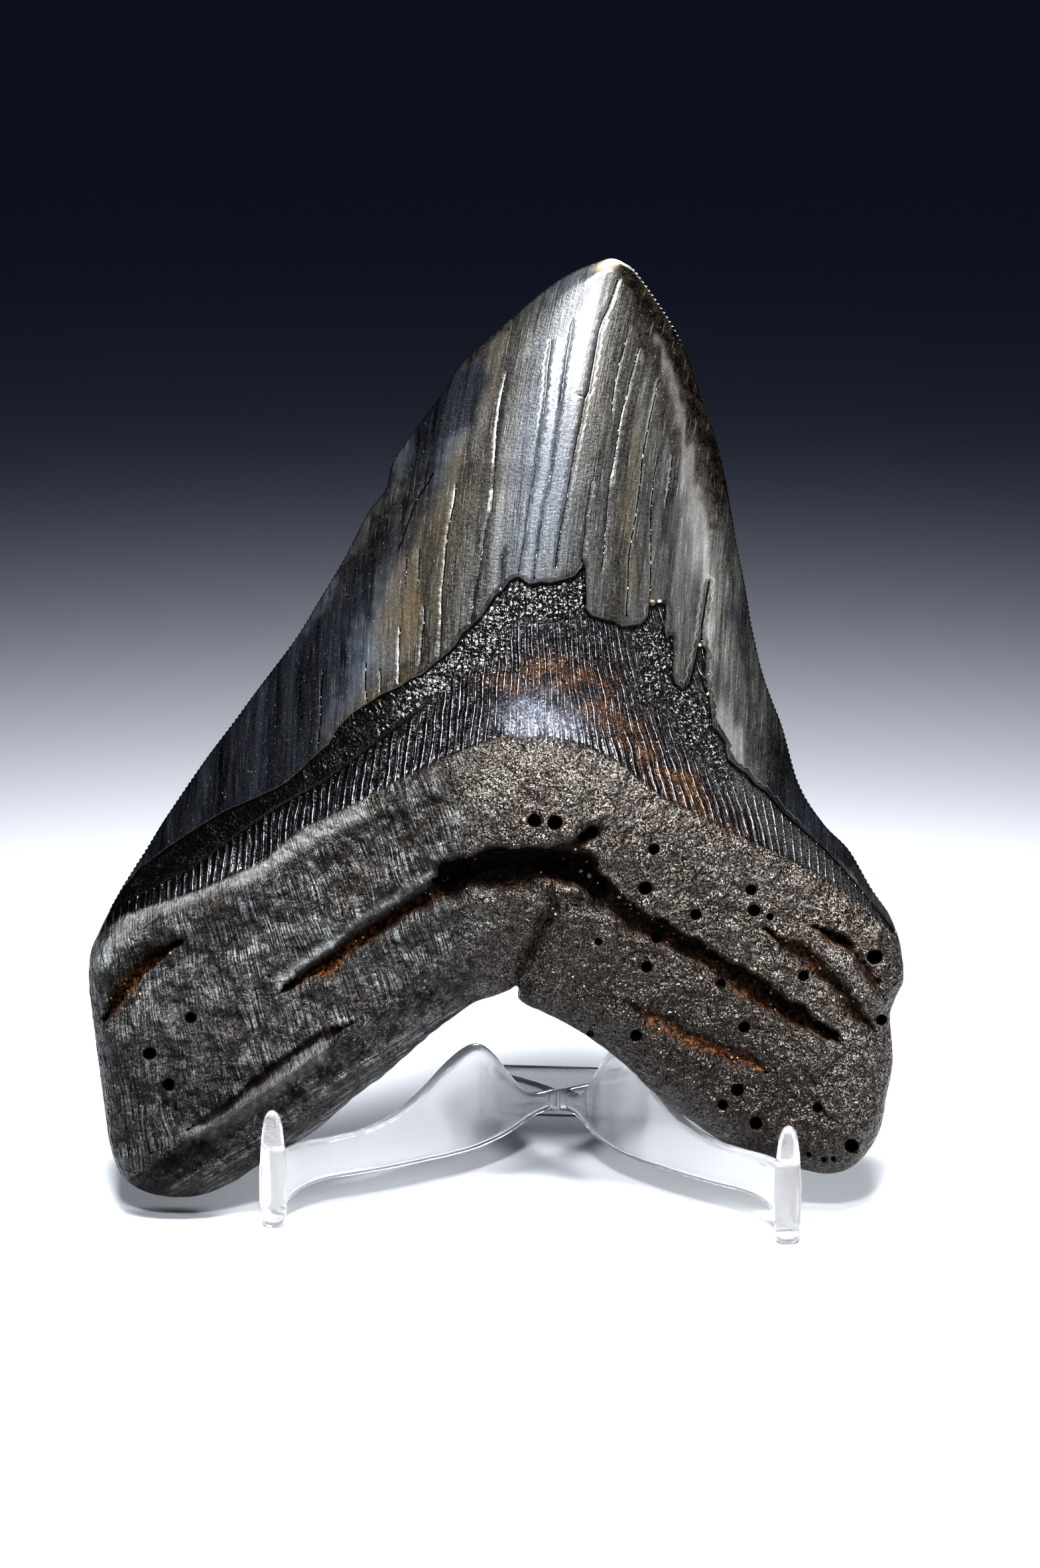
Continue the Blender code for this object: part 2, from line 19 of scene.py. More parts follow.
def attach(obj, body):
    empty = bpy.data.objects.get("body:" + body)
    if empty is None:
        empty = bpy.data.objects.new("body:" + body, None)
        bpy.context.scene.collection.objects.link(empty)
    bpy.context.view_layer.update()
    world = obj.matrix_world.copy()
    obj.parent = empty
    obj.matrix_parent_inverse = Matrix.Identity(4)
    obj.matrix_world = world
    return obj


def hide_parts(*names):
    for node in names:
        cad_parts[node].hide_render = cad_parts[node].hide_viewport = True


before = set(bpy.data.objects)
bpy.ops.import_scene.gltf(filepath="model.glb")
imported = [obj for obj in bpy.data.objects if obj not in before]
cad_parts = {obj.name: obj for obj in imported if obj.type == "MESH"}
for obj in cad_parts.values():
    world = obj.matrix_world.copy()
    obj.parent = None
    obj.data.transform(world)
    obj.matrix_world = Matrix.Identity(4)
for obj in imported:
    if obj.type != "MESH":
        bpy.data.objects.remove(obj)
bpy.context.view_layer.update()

bl_info = {
    "name": "Fossil Tooth on Stand",
    "version": (1, 0, 0),
    "blender": (4, 5, 0),
    "location": "View3D > Sidebar > Fossil",
    "description": "A large fossil shark tooth, the sand in its root and its clear display stand",
    "category": "Add Mesh",
}

MM = 0.001

# How the two pieces stand on the surface
TOOTH_LEAN = math.radians(12.0)
TOOTH_AT = (3.57, -18.67, 1.6)
STAND_TURN = math.radians(-6.0)
STAND_AT = (4.87, -29.67, 0.0)
EYE_DISTANCE = 656.7
EYE_HEIGHT = 63.0

# Crown and root: the same broad form as the solid
CROWN_TOP = 142.0
CROWN_BASE = 60.0
CROWN_FRONT, CROWN_BACK = 12.5, 6.0
TIP_FRONT, TIP_BACK = 1.6, 1.0
ROOT_FRONT, ROOT_BACK = 8.2, 7.2
ROOT_EDGE_FRONT, ROOT_EDGE_BACK = 6.0, 5.5
LEAST_WALL = 0.08
SHOULDER = 46.0

# Outline of the tooth, from the tip down each side and along the root
TIP = [(11.5, 141.8), (13.4, 142.3), (15.1, 142.1)]
RIGHT_EDGE = [
    (17.0, 140.8), (18.4, 139.1), (21.4, 134.8), (23.7, 131.0), (25.6, 126.6), (27.8, 120.2),
    (29.9, 113.9), (31.2, 108.0), (32.7, 99.4), (33.8, 93.8), (35.1, 86.3), (36.7, 79.4),
    (39.6, 71.5), (42.1, 63.0), (45.7, 57.1), (49.6, 53.1), (52.8, 47.7), (56.3, 42.4),
]
RIGHT_LOBE = [
    (57.6, 37.9), (57.9, 33.4), (56.4, 30.0), (55.9, 27.6), (56.3, 21.4), (55.4, 16.0),
    (54.1, 10.2), (50.6, 5.6), (46.5, 4.2), (42.0, 4.9), (38.0, 5.5), (33.9, 7.1), (28.0, 10.6),
    (23.0, 14.1), (19.2, 17.2), (15.7, 20.6), (11.3, 24.1), (6.0, 27.3), (1.5, 29.3),
]
NOTCH = [(-0.3, 30.6), (-0.5, 32.4), (-1.9, 31.6)]
LEFT_LOBE = [
    (-6.7, 30.0), (-9.5, 28.1), (-13.7, 24.9), (-20.7, 18.9), (-24.8, 15.8), (-29.6, 11.7),
    (-32.5, 9.6), (-39.4, 5.4), (-44.1, 2.4), (-48.9, 0.8), (-53.0, 0.7), (-57.0, 1.7),
    (-60.2, 4.2), (-61.9, 8.7), (-62.8, 14.6), (-64.5, 27.6), (-65.1, 33.5), (-64.8, 37.7),
]
LEFT_EDGE = [
    (-63.6, 40.6), (-61.3, 45.3), (-57.7, 51.2), (-50.0, 63.1), (-41.8, 74.3), (-34.1, 84.6),
    (-30.2, 90.9), (-26.6, 96.9), (-23.0, 103.8), (-20.3, 107.5), (-19.3, 111.3), (-16.8, 115.2),
    (-11.6, 122.1), (-8.4, 127.0), (-2.0, 132.7), (4.4, 138.0), (7.4, 139.9),
]
OUTLINE = TIP + RIGHT_EDGE + RIGHT_LOBE + NOTCH + LEFT_LOBE + LEFT_EDGE

# Where the root begins on the inner face, and the lower edges of the enamel
ROOT_TOP = [
    (-65.5, 38.5), (-59.4, 43.2), (-48.4, 46.7), (-38.4, 51.2), (-33.8, 55.5), (-24.4, 60.1),
    (-18.8, 63.1), (-12.2, 66.2), (-6.3, 68.8), (-3.0, 70.0), (4.7, 69.7), (9.8, 68.5),
    (15.4, 65.7), (21.3, 60.8), (28.7, 57.2), (35.6, 53.7), (43.0, 50.2), (47.3, 47.6),
    (51.8, 44.0), (58.0, 38.5),
]
ENAMEL_EDGE = [
    (-63.6, 41.2), (-60.4, 46.4), (-57.3, 50.2), (-52.6, 53.6), (-48.4, 56.4), (-44.7, 58.7),
    (-40.4, 60.6), (-36.4, 62.4), (-34.9, 63.4), (-32.6, 65.4), (-30.5, 67.5), (-28.7, 69.0),
    (-27.2, 71.6), (-25.2, 73.6), (-22.8, 75.1), (-20.7, 76.5), (-18.2, 77.5), (-16.4, 78.8),
    (-14.6, 79.5), (-13.1, 80.8), (-12.1, 81.6), (-10.8, 82.6), (-9.5, 83.9), (-8.5, 85.7),
    (-7.2, 86.7), (-5.7, 88.2), (-4.7, 89.7), (-3.7, 91.3), (-2.6, 92.0), (-1.4, 93.6),
    (-0.3, 94.1), (1.4, 92.9), (3.2, 93.3), (4.5, 93.1), (6.8, 93.7), (8.3, 94.1), (8.8, 94.8),
    (9.7, 95.9), (9.9, 91.5), (9.9, 89.2), (10.7, 88.2), (12.5, 87.7), (14.0, 87.4), (15.3, 86.5),
    (16.8, 86.7), (18.3, 86.9), (19.4, 88.2), (19.6, 90.0), (21.7, 90.1), (21.9, 88.7),
    (21.7, 86.2), (21.9, 84.6), (22.9, 85.4), (23.1, 82.6), (22.9, 79.5), (23.3, 78.0),
    (24.5, 77.1), (25.6, 78.0), (26.0, 79.8), (26.6, 82.1), (27.0, 84.4), (27.9, 83.0),
    (27.8, 78.9), (28.4, 75.9), (28.8, 72.8), (28.9, 71.5), (29.7, 70.8), (30.8, 69.2),
    (31.2, 66.7), (32.5, 65.4), (34.0, 64.4), (35.3, 62.8), (36.8, 61.8), (38.1, 60.3),
    (39.6, 58.5), (45.6, 53.2), (51.6, 46.7), (56.1, 41.2),
]
LEDGE = [
    (-64.0, 41.6), (-57.0, 46.4), (-49.9, 50.0), (-41.6, 56.1), (-35.4, 60.2), (-29.5, 63.4),
    (-22.2, 68.9), (-14.0, 75.0), (-8.0, 80.0),
]
OUTER_ENAMEL_EDGE = [
    (-63.0, 41.4), (-56.0, 45.8), (-48.0, 47.0), (-39.0, 49.6), (-30.0, 50.5), (-20.0, 54.2),
    (-12.0, 55.5), (-6.0, 58.4), (-2.0, 59.0), (3.0, 58.2), (8.0, 56.0), (16.0, 54.4),
    (24.0, 51.0), (33.0, 49.8), (40.0, 47.5), (49.0, 46.6), (55.6, 42.4),
]

# Cracks of the enamel: half width, depth, share of painted glints along its edges, line
CRACKS = [
    (0.22, 0.45, 0.1, [
        (14.7, 138.7), (14.2, 137.3), (13.3, 134.5), (12.5, 133.0), (11.9, 131.0), (11.4, 128.1),
        (11.0, 125.9), (10.6, 123.8), (10.3, 122.0), (9.8, 120.8), (9.2, 117.2), (8.6, 114.9),
        (8.1, 112.1), (7.6, 109.1), (6.9, 105.0), (6.3, 102.0), (5.8, 98.9), (5.5, 96.9),
        (5.4, 95.6),
    ]),
    (0.12, 0.2, 0.1, [(8.9, 121.5), (9.6, 121.2), (10.4, 121.7)]),
    (0.13, 0.22, 0.45, [
        (7.9, 132.5), (7.2, 128.1), (6.8, 125.3), (6.4, 122.8), (6.1, 119.7), (5.5, 115.1),
        (4.9, 111.8), (4.5, 109.1), (3.7, 105.3), (3.2, 102.2), (2.8, 99.7), (2.3, 95.9),
        (2.1, 94.3),
    ]),
    (0.13, 0.25, 0.25, [
        (4.7, 129.4), (4.1, 125.3), (3.8, 121.3), (3.3, 117.2), (2.7, 113.1), (2.1, 109.1),
        (1.4, 105.5), (0.9, 102.5), (0.6, 99.7), (0.0, 96.4), (-0.2, 94.8),
    ]),
    (0.13, 0.22, 0.55, [
        (-2.0, 124.6), (-2.7, 121.5), (-3.2, 118.7), (-3.6, 115.1), (-3.8, 111.1), (-4.2, 105.0),
        (-4.8, 102.5), (-5.4, 99.7), (-6.0, 95.9), (-6.7, 92.8), (-7.0, 90.2), (-7.4, 87.2),
    ]),
    (0.14, 0.25, 0.35, [
        (-9.6, 108.1), (-10.0, 104.8), (-10.7, 101.7), (-11.1, 98.7), (-11.4, 94.8),
        (-11.7, 92.0), (-11.8, 88.7), (-11.9, 85.1), (-12.1, 81.8),
    ]),
    (0.13, 0.25, 0.1, [(-2.5, 98.4), (-2.8, 95.9), (-2.9, 92.3)]),
    (0.14, 0.2, 0.45, [(-14.4, 89.7), (-14.5, 87.2), (-14.8, 84.6), (-15.0, 81.1)]),
    (0.13, 0.2, 0.35, [(-18.1, 86.4), (-18.2, 82.6), (-18.2, 78.0)]),
    (0.13, 0.2, 0.5, [(-23.2, 81.1), (-23.3, 77.5), (-22.8, 75.2)]),
    (0.12, 0.18, 0.5, [(-21.0, 80.0), (-20.9, 76.5)]),
    (0.14, 0.22, 0.6, [
        (-29.6, 80.0), (-29.9, 76.9), (-30.0, 73.3), (-30.3, 70.3), (-30.4, 67.5),
    ]),
    (0.12, 0.12, 0.15, [(-13.2, 109.4), (-14.1, 107.8), (-15.6, 105.3), (-18.2, 98.4)]),
    (0.11, 0.12, 0.8, [(-17.0, 97.4), (-17.3, 92.8)]),
    (0.11, 0.12, 0.8, [(-15.1, 98.1), (-15.3, 93.3)]),
    (0.13, 0.18, 0.7, [
        (16.3, 131.5), (15.8, 129.2), (15.3, 127.6), (14.7, 125.3), (14.2, 122.8), (13.8, 119.2),
    ]),
    (0.13, 0.18, 0.75, [
        (17.9, 128.4), (17.1, 125.9), (16.5, 123.6), (16.0, 121.3), (15.3, 119.0), (14.8, 116.4),
        (14.6, 114.6), (14.0, 111.3), (13.4, 108.1), (13.0, 103.0), (12.7, 98.9), (12.3, 95.3),
    ]),
    (0.13, 0.25, 0.15, [
        (10.8, 108.4), (10.4, 105.8), (9.9, 103.0), (9.7, 99.9), (9.3, 96.9), (9.8, 95.6),
    ]),
    (0.12, 0.18, 0.65, [
        (20.8, 123.7), (19.4, 117.2), (18.5, 112.4), (18.1, 108.6), (17.6, 104.8), (17.1, 101.5),
        (16.5, 98.4), (16.3, 95.3), (16.2, 92.0), (16.0, 88.7),
    ]),
    (0.12, 0.15, 0.75, [
        (20.8, 112.4), (20.1, 108.6), (19.7, 103.5), (19.7, 100.4), (19.7, 96.9), (19.6, 91.3),
    ]),
    (0.11, 0.12, 0.85, [(22.9, 112.4), (22.4, 108.1), (21.9, 104.8)]),
    (0.24, 0.6, 0.25, [
        (28.3, 93.3), (27.6, 88.7), (27.3, 86.7), (27.3, 84.4), (27.4, 83.4), (27.8, 79.3),
        (28.2, 76.7), (28.7, 74.2),
    ]),
]

# Grooves of the root: half width, depth, how much silt and painted shade they hold, line
GROOVES = [
    (1.3, 3.0, 1.0, [(-35.9, 32.1), (-28.8, 36.8), (-21.0, 42.4), (-14.0, 46.8), (-9.0, 49.8)]),
    (2.3, 5.6, 1.0, [(-10.5, 49.4), (-3.5, 51.3), (3.0, 51.4), (8.0, 50.4), (11.6, 48.0)]),
    (0.9, 1.8, 0.8, [(5.0, 52.8), (8.4, 54.2), (10.8, 55.9)]),
    (1.4, 3.2, 1.0, [
        (8.0, 51.0), (14.0, 46.4), (18.6, 42.2), (24.0, 39.8), (32.7, 34.6), (38.0, 30.6),
        (44.3, 27.0), (48.0, 24.6),
    ]),
    (0.8, 1.3, 0.6, [(5.0, 49.0), (5.0, 44.0), (2.4, 38.6), (0.2, 35.6), (-0.4, 32.8)]),
    (1.3, 3.0, 0.8, [(-51.0, 39.2), (-55.4, 36.6), (-58.6, 32.9), (-61.8, 27.8)]),
    (1.1, 1.4, 0.8, [(36.7, 41.0), (42.6, 37.4), (47.8, 33.0), (51.0, 28.6), (53.2, 26.4)]),
    (1.0, 1.5, 0.7, [(49.0, 38.4), (52.0, 35.2), (54.6, 31.2)]),
    (1.1, 0.8, 0.7, [(15.7, 30.3), (21.6, 26.6), (28.6, 23.6), (37.6, 19.8)]),
    (0.8, 1.5, 0.6, [(-50.2, 11.0), (-44.3, 14.0), (-37.9, 19.4), (-32.0, 23.8), (-25.1, 27.2)]),
    (0.35, 0.7, 0.6, [(-24.9, 49.2), (-24.2, 50.4)]),
    (1.5, 2.2, 0.9, [(44.6, 41.4), (46.8, 40.4), (49.4, 38.6)]),
]

# Raised rims and lumps of the root: half width, height, line
RIMS = [
    (3.6, 1.5, [(-61.8, 35.0), (-57.6, 39.8), (-51.0, 42.6), (-43.5, 45.6)]),
    (2.2, 1.2, [(-62.0, 37.6), (-50.7, 42.6), (-38.0, 48.0), (-24.4, 57.6), (-10.0, 64.6)]),
    (1.9, 1.5, [(45.6, 37.4), (48.8, 35.2), (52.6, 31.0)]),
    (1.4, 0.5, [(-60.6, 30.6), (-57.0, 35.0), (-52.6, 37.6)]),
    (1.6, 0.5, [(54.0, 40.0), (56.4, 35.0), (56.0, 32.0)]),
    (1.3, 0.9, [(-46.0, 9.6), (-38.0, 15.6), (-31.0, 20.4), (-24.0, 24.6)]),
    (1.5, 0.8, [(-57.0, 26.0), (-53.4, 31.6), (-48.6, 35.4)]),
    (1.8, 0.7, [(-36.0, 30.2), (-28.0, 34.6), (-20.0, 39.6), (-12.0, 43.6)]),
]

PALE_RIMS = [
    (1.1, 0.95, [
        (-62.6, 36.4), (-60.0, 40.0), (-57.3, 43.6), (-51.0, 45.6), (-45.6, 48.0), (-40.5, 49.6),
        (-35.0, 53.0), (-29.6, 56.0), (-24.0, 58.6),
    ]),
    (0.9, 0.8, [(-35.6, 33.6), (-28.8, 38.6), (-21.0, 44.0), (-14.0, 48.4), (-10.0, 50.6)]),
    (1.3, 0.6, [(-50.0, 10.4), (-44.0, 12.6), (-37.0, 17.6), (-30.0, 22.6)]),
]

# Bore holes of the inner face: centre, radius
BORES = [
    ((2.2, 57.4), 1.1), ((5.3, 57.1), 1.2), ((10.8, 55.7), 1.0), ((9.6, 55.1), 0.8),
    ((20.2, 53.1), 0.9), ((18.9, 47.3), 1.1), ((26.5, 43.3), 0.9), ((34.9, 47.0), 0.9),
    ((35.3, 43.9), 1.0), ((37.7, 43.0), 0.6), ((42.8, 34.0), 0.9), ((54.1, 27.7), 0.9),
    ((53.2, 37.0), 1.2), ((19.1, 35.3), 0.9), ((30.4, 32.7), 0.8), ((11.8, 39.2), 0.6),
    ((33.8, 26.3), 0.9), ((17.4, 25.3), 0.9), ((32.8, 16.9), 1.0), ((30.4, 14.9), 0.8),
    ((35.4, 12.1), 1.0), ((44.9, 14.1), 0.8), ((49.6, 8.9), 1.1), ((45.5, 6.8), 0.4),
    ((46.9, 6.9), 0.4), ((43.2, 7.6), 0.4), ((10.6, 25.6), 0.6), ((20.6, 39.7), 0.9),
    ((-53.0, 17.6), 1.0), ((-55.8, 22.4), 1.0), ((-49.7, 27.7), 0.9),
]
BORE_DEPTH = 2.4

# Outer face: folds, cracks and bore holes
OUTER_GROOVES = [
    (1.7, 0.8, 0.5, [(-36.0, 43.0), (-33.6, 30.0), (-34.6, 17.0)]),
    (1.5, 0.7, 0.5, [(-17.0, 49.0), (-13.6, 40.0), (-12.4, 31.0)]),
    (1.5, 0.7, 0.5, [(15.0, 49.0), (13.6, 40.0), (12.0, 31.0)]),
    (1.7, 0.8, 0.5, [(33.0, 43.0), (33.4, 30.0), (36.0, 16.0)]),
    (0.5, 0.6, 0.6, [(-52.0, 36.0), (-46.0, 25.0), (-45.0, 14.0)]),
    (0.5, 0.5, 0.6, [(44.0, 36.0), (47.6, 26.0), (47.0, 15.0)]),
]
OUTER_CRACKS = [
    (0.14, 0.25, 0.2, [(10.6, 136.0), (7.0, 118.0), (3.0, 98.0), (0.6, 76.0), (-1.0, 62.0)]),
    (0.12, 0.2, 0.4, [(13.6, 130.0), (12.0, 112.0), (10.4, 92.0), (9.6, 70.0)]),
    (0.12, 0.2, 0.3, [(0.0, 126.0), (-5.4, 108.0), (-9.0, 88.0), (-11.6, 66.0)]),
    (0.12, 0.18, 0.5, [(18.6, 124.0), (18.8, 104.0), (18.0, 86.0), (18.6, 66.0)]),
    (0.12, 0.18, 0.6, [(-12.0, 106.0), (-16.6, 90.0), (-19.6, 74.0), (-21.0, 60.0)]),
    (0.12, 0.18, 0.6, [(24.6, 104.0), (25.4, 86.0), (26.4, 68.0), (27.0, 56.0)]),
    (0.12, 0.15, 0.7, [(-26.0, 86.0), (-29.6, 72.0), (-31.0, 58.0)]),
]
OUTER_BORES = [
    ((-45.0, 32.0), 0.9), ((-24.0, 38.0), 0.9), ((2.4, 46.0), 1.0), ((21.0, 39.0), 0.9),
    ((42.0, 28.0), 0.9), ((-51.0, 18.0), 0.9), ((-39.0, 21.0), 0.6), ((7.0, 38.0), 0.6),
    ((49.0, 21.0), 0.7), ((29.0, 21.0), 0.6),
]

# Stains, painted highlights and painted shade, each a soft oval: centre, long and short radius,
# turn in degrees, strength
STAINS = {
    "dark": [
        (-42.0, 66.0, 24.0, 10.0, 57.0, 1.15), (-21.0, 97.0, 20.0, 4.4, 60.0, 0.55),
        (-12.0, 117.5, 9.0, 3.6, 56.0, 0.45), (-9.0, 122.0, 9.0, 4.6, 52.0, 0.5),
        (22.5, 100.0, 13.0, 1.5, 92.0, 0.45), (45.0, 60.0, 16.0, 5.5, -50.0, 0.6),
        (31.0, 76.0, 9.0, 1.6, -80.0, 0.45), (-16.0, 70.5, 16.0, 4.5, 32.0, 0.7),
        (-48.0, 52.0, 16.0, 4.0, 40.0, 0.9), (33.0, 86.0, 16.0, 0.9, -80.0, 0.55),
        (40.0, 58.5, 10.0, 2.4, -42.0, 0.5),
    ],
    "warm": [
        (-14.5, 97.0, 15.0, 4.6, 62.0, 0.6), (-15.6, 86.0, 8.0, 4.6, 60.0, 0.55),
        (11.6, 122.0, 14.0, 2.2, 80.0, 0.8), (-5.5, 120.0, 12.0, 3.0, 76.0, 0.45),
        (16.0, 104.0, 18.0, 1.3, 86.0, 0.55), (4.0, 78.8, 9.0, 3.2, 0.0, 1.1),
        (24.5, 61.6, 14.0, 2.8, -44.0, 1.1), (14.0, 73.5, 8.0, 3.4, -42.0, 0.9),
        (36.0, 20.0, 20.0, 10.0, -35.0, 0.6), (44.0, 42.0, 9.0, 5.0, -40.0, 0.6),
        (-52.0, 36.4, 9.0, 2.6, 35.0, 0.9), (-31.0, 19.0, 16.0, 2.6, 33.0, 0.75),
        (26.0, 25.0, 14.0, 3.0, -27.0, 0.3), (-24.0, 74.0, 12.0, 1.6, 36.0, 0.6),
        (-4.0, 47.0, 12.0, 3.0, 8.0, 0.35), (-28.0, 36.0, 10.0, 2.6, 35.0, 1.0),
        (-57.0, 33.0, 8.0, 2.4, 45.0, 0.8),
    ],
    # A blue-grey tint of the root and the crown's left; the ovals down the crown's middle and on
    # the bourlette's middle are a painted reflection of the lamps
    "cool": [
        (5.0, 116.0, 26.0, 5.0, 80.0, 0.95), (-28.0, 82.0, 15.0, 7.0, 57.0, 0.9),
        (-12.0, 116.0, 9.0, 4.0, 57.0, 0.7), (-45.0, 30.0, 26.0, 16.0, 20.0, 0.6),
        (-14.0, 40.0, 12.0, 6.0, 25.0, 0.5), (6.0, 74.0, 8.0, 4.0, 0.0, 0.5),
    ],
    # Pale patches of the root; those on the crown's right, near its tip and on the bourlette's
    # middle are painted reflections and highlights
    "pale": [
        (28.6, 97.0, 15.0, 2.4, 96.0, 0.85), (30.4, 84.0, 9.0, 1.7, 96.0, 0.75),
        (8.6, 128.0, 11.0, 4.0, 80.0, 0.55), (4.0, 64.0, 20.0, 4.4, 0.0, 0.6),
        (31.0, 52.0, 18.0, 4.0, -32.0, 0.6), (48.6, 35.4, 5.0, 2.0, -45.0, 1.2),
        (42.0, 29.6, 6.0, 1.6, -35.0, 0.6), (-40.0, 49.0, 16.0, 1.8, 27.0, 0.6),
        (3.0, 72.6, 5.0, 2.4, 0.0, 0.8), (50.0, 20.0, 4.0, 7.0, 0.0, 0.35),
        (-51.0, 26.0, 10.0, 6.0, 20.0, 0.75),
    ],
    "tan": [(14.2, 141.9, 2.8, 0.9, 5.0, 1.2)],
    "umber": [
        (25.6, 122.0, 20.0, 5.6, -70.0, 1.25), (19.4, 135.6, 7.0, 3.0, -60.0, 0.95),
        (-5.0, 130.4, 9.0, 2.2, 42.0, 0.75), (-22.5, 98.0, 20.0, 2.4, 60.0, 0.8),
        (44.5, 60.0, 17.0, 5.0, -50.0, 0.9), (-17.0, 80.0, 9.0, 3.0, 50.0, 0.5),
        (27.0, 106.0, 10.0, 2.0, -80.0, 0.4),
    ],
    # Painted shade: the root darker towards its lower lobes and in parts of its middle
    "dim": [
        (-56.0, 10.0, 22.0, 12.0, 30.0, 0.95), (-62.0, 26.0, 16.0, 4.0, 90.0, 0.6),
        (19.0, 27.0, 26.0, 10.0, -38.0, 0.8), (40.0, 16.0, 22.0, 12.0, -60.0, 0.6),
        (-30.0, 12.0, 26.0, 5.0, 32.0, 0.6), (-24.0, 37.0, 14.0, 3.4, 28.0, 0.35),
        (-4.0, 40.0, 12.0, 6.0, 30.0, 0.25),
    ],
    "bare": [
        (4.8, 90.4, 6.6, 3.6, 0.0, 1.4), (-5.4, 85.6, 6.0, 2.6, 50.0, 1.2),
        (21.6, 81.0, 7.0, 4.0, -80.0, 1.3), (27.0, 70.0, 9.0, 3.0, -60.0, 1.1),
        (-13.0, 78.0, 9.0, 1.8, 42.0, 0.9),
    ],
    # A painted highlight: a pale bluish patch on the bourlette's middle, where the key lamp's
    # reflection falls
    "sheen": [(2.2, 73.2, 5.8, 3.3, 0.0, 1.2)],
    "smooth": [(38.2, 58.8, 17.0, 2.8, -45.0, 1.8), (52.6, 45.0, 4.0, 1.2, -42.0, 0.8)],
}

# All the marks that colour the tooth, each from 0 to 1 on its mesh's points
MARKS = ("enamel", "band", "ledge", "crack", "chalk", "dirt", "hole", "under", "lip", "rim",
         *STAINS)

# Larger grains of sand on the inner face: place, size
SAND = [
    (27.1, 83.9, 0.85), (28.4, 76.5, 0.75), (28.2, 75.2, 0.5), (19.9, 90.3, 0.8),
    (21.0, 90.5, 0.6), (5.0, 44.2, 0.4), (5.4, 43.3, 0.5), (7.4, 34.4, 0.6), (9.2, 49.9, 0.9),
    (10.5, 49.1, 0.8), (15.0, 46.0, 0.9), (15.9, 45.0, 0.8), (16.8, 44.2, 0.6), (17.9, 43.6, 0.7),
    (38.0, 31.4, 0.5), (37.9, 42.9, 0.6), (8.0, 34.0, 0.4),
]

# Mesh spacing of the tooth
CROWN_SPACING = 0.62
BAND_SPACING = 0.30
ROOT_SPACING = 0.43
OUTER_CROWN_SPACING = 1.0
OUTER_ROOT_SPACING = 0.66
SERRATION = 0.8
RIM_OFFSETS = (0.14, 0.4, 0.85, 1.5, 2.3)
EDGE_OFFSETS = (0.35, 0.8)
RIM_CLEARANCE = 0.31
STEP_WIDTH, OUTER_STEP_WIDTH = 0.3, 0.5
OUTER_SHIFT = 150.0

# Lamps, in metres: name, power's setting, place, target, size, spread in degrees
LAMPS = [
    ("key", "key_power", (-0.03, -0.73, 0.73), (0.004, 0.0, 0.10), (0.12, 0.07), 60.0),
    ("overhead", "top_power", (0.0, -0.22, 0.52), (0.0, 0.0, 0.05), (0.22, 0.14), 80.0),
    ("right strip", "side_power", (0.62, -0.42, 0.30), (0.02, 0.0, 0.08), (0.08, 0.5), 80.0),
    ("back", "back_power", (0.15, 0.46, 0.36), (0.0, 0.0, 0.09), (0.3, 0.2), 50.0),
]
FLOOR_SIZE = 12.0

# Stand: one symmetric moulding, drawn with its posts on y = 0 and its foot behind
POST_SPAN = 76.6
POST_HEIGHT = 18.1
POST_WIDTH = 4.2
POST_DEPTH = 3.6
POST_PROFILE = [
    (0.52, 0.0), (0.8, 0.04), (0.92, 0.12), (1.0, 0.25), (0.98, 0.5), (0.86, 0.72), (0.7, 0.88),
    (0.52, 0.95), (0.3, 0.985), (0.08, 1.0),
]
WALL = 1.8
FOOT_SPAN = 26.0
FOOT_BACK = 63.0
FOOT_HEIGHT = 8.0
FOOT_DEPTH = 2.25
WING = [
    (38.3, 0.6, 1.5, 12.4), (37.0, 3.9, 2.9, 11.1), (34.8, 7.2, 4.0, 11.15),
    (31.4, 10.2, 4.5, 11.1), (26.8, 13.5, 4.5, 11.5), (22.2, 17.2, 4.5, 13.1),
    (18.5, 20.6, 4.5, 15.9), (15.3, 23.6, 4.5, 19.1), (12.8, 26.4, 4.5, 20.9),
    (10.8, 28.8, 4.6, 21.2), (9.0, 31.6, 4.8, 18.9), (7.4, 34.4, 5.0, 15.6),
    (5.8, 38.0, 5.4, 12.2), (4.0, 42.0, 5.9, 9.8), (0.6, 46.6, 6.3, 9.2),
]
REAR_LEG = [
    (0.4, 45.4, 6.0, 9.4), (3.2, 50.0, 4.2, 8.9), (7.0, 55.0, 2.2, 8.4), (10.4, 59.6, 0.6, 8.0),
    (12.2, 63.0, 0.0, 8.0),
]


def smooth_curve(points, spacing, closed=False):
    """Points evenly spaced along a smooth curve through the given ones."""
    given = np.array(points, dtype=float)
    if closed:
        padded = np.vstack([given[-1], given, given[0], given[1]])
    else:
        padded = np.vstack([2 * given[0] - given[1], given, 2 * given[-1] - given[-2]])
    t = np.linspace(0.0, 1.0, 12, endpoint=False)[:, None]
    fine = []
    for a, b, c, d in zip(padded, padded[1:], padded[2:], padded[3:]):
        fine.append(0.5 * (2 * b + (c - a) * t + (2 * a - 5 * b + 4 * c - d) * t**2
                           + (3 * b - a - 3 * c + d) * t**3))
    fine = np.vstack(fine + [given[:1] if closed else given[-1:]])
    lengths = np.concatenate([[0.0], np.cumsum(np.linalg.norm(np.diff(fine, axis=0), axis=1))])
    count = max(2, int(round(lengths[-1] / spacing)))
    at = np.linspace(0.0, lengths[-1], count + 1)
    if closed:
        at = at[:-1]
    return np.column_stack([np.interp(at, lengths, column) for column in fine.T])


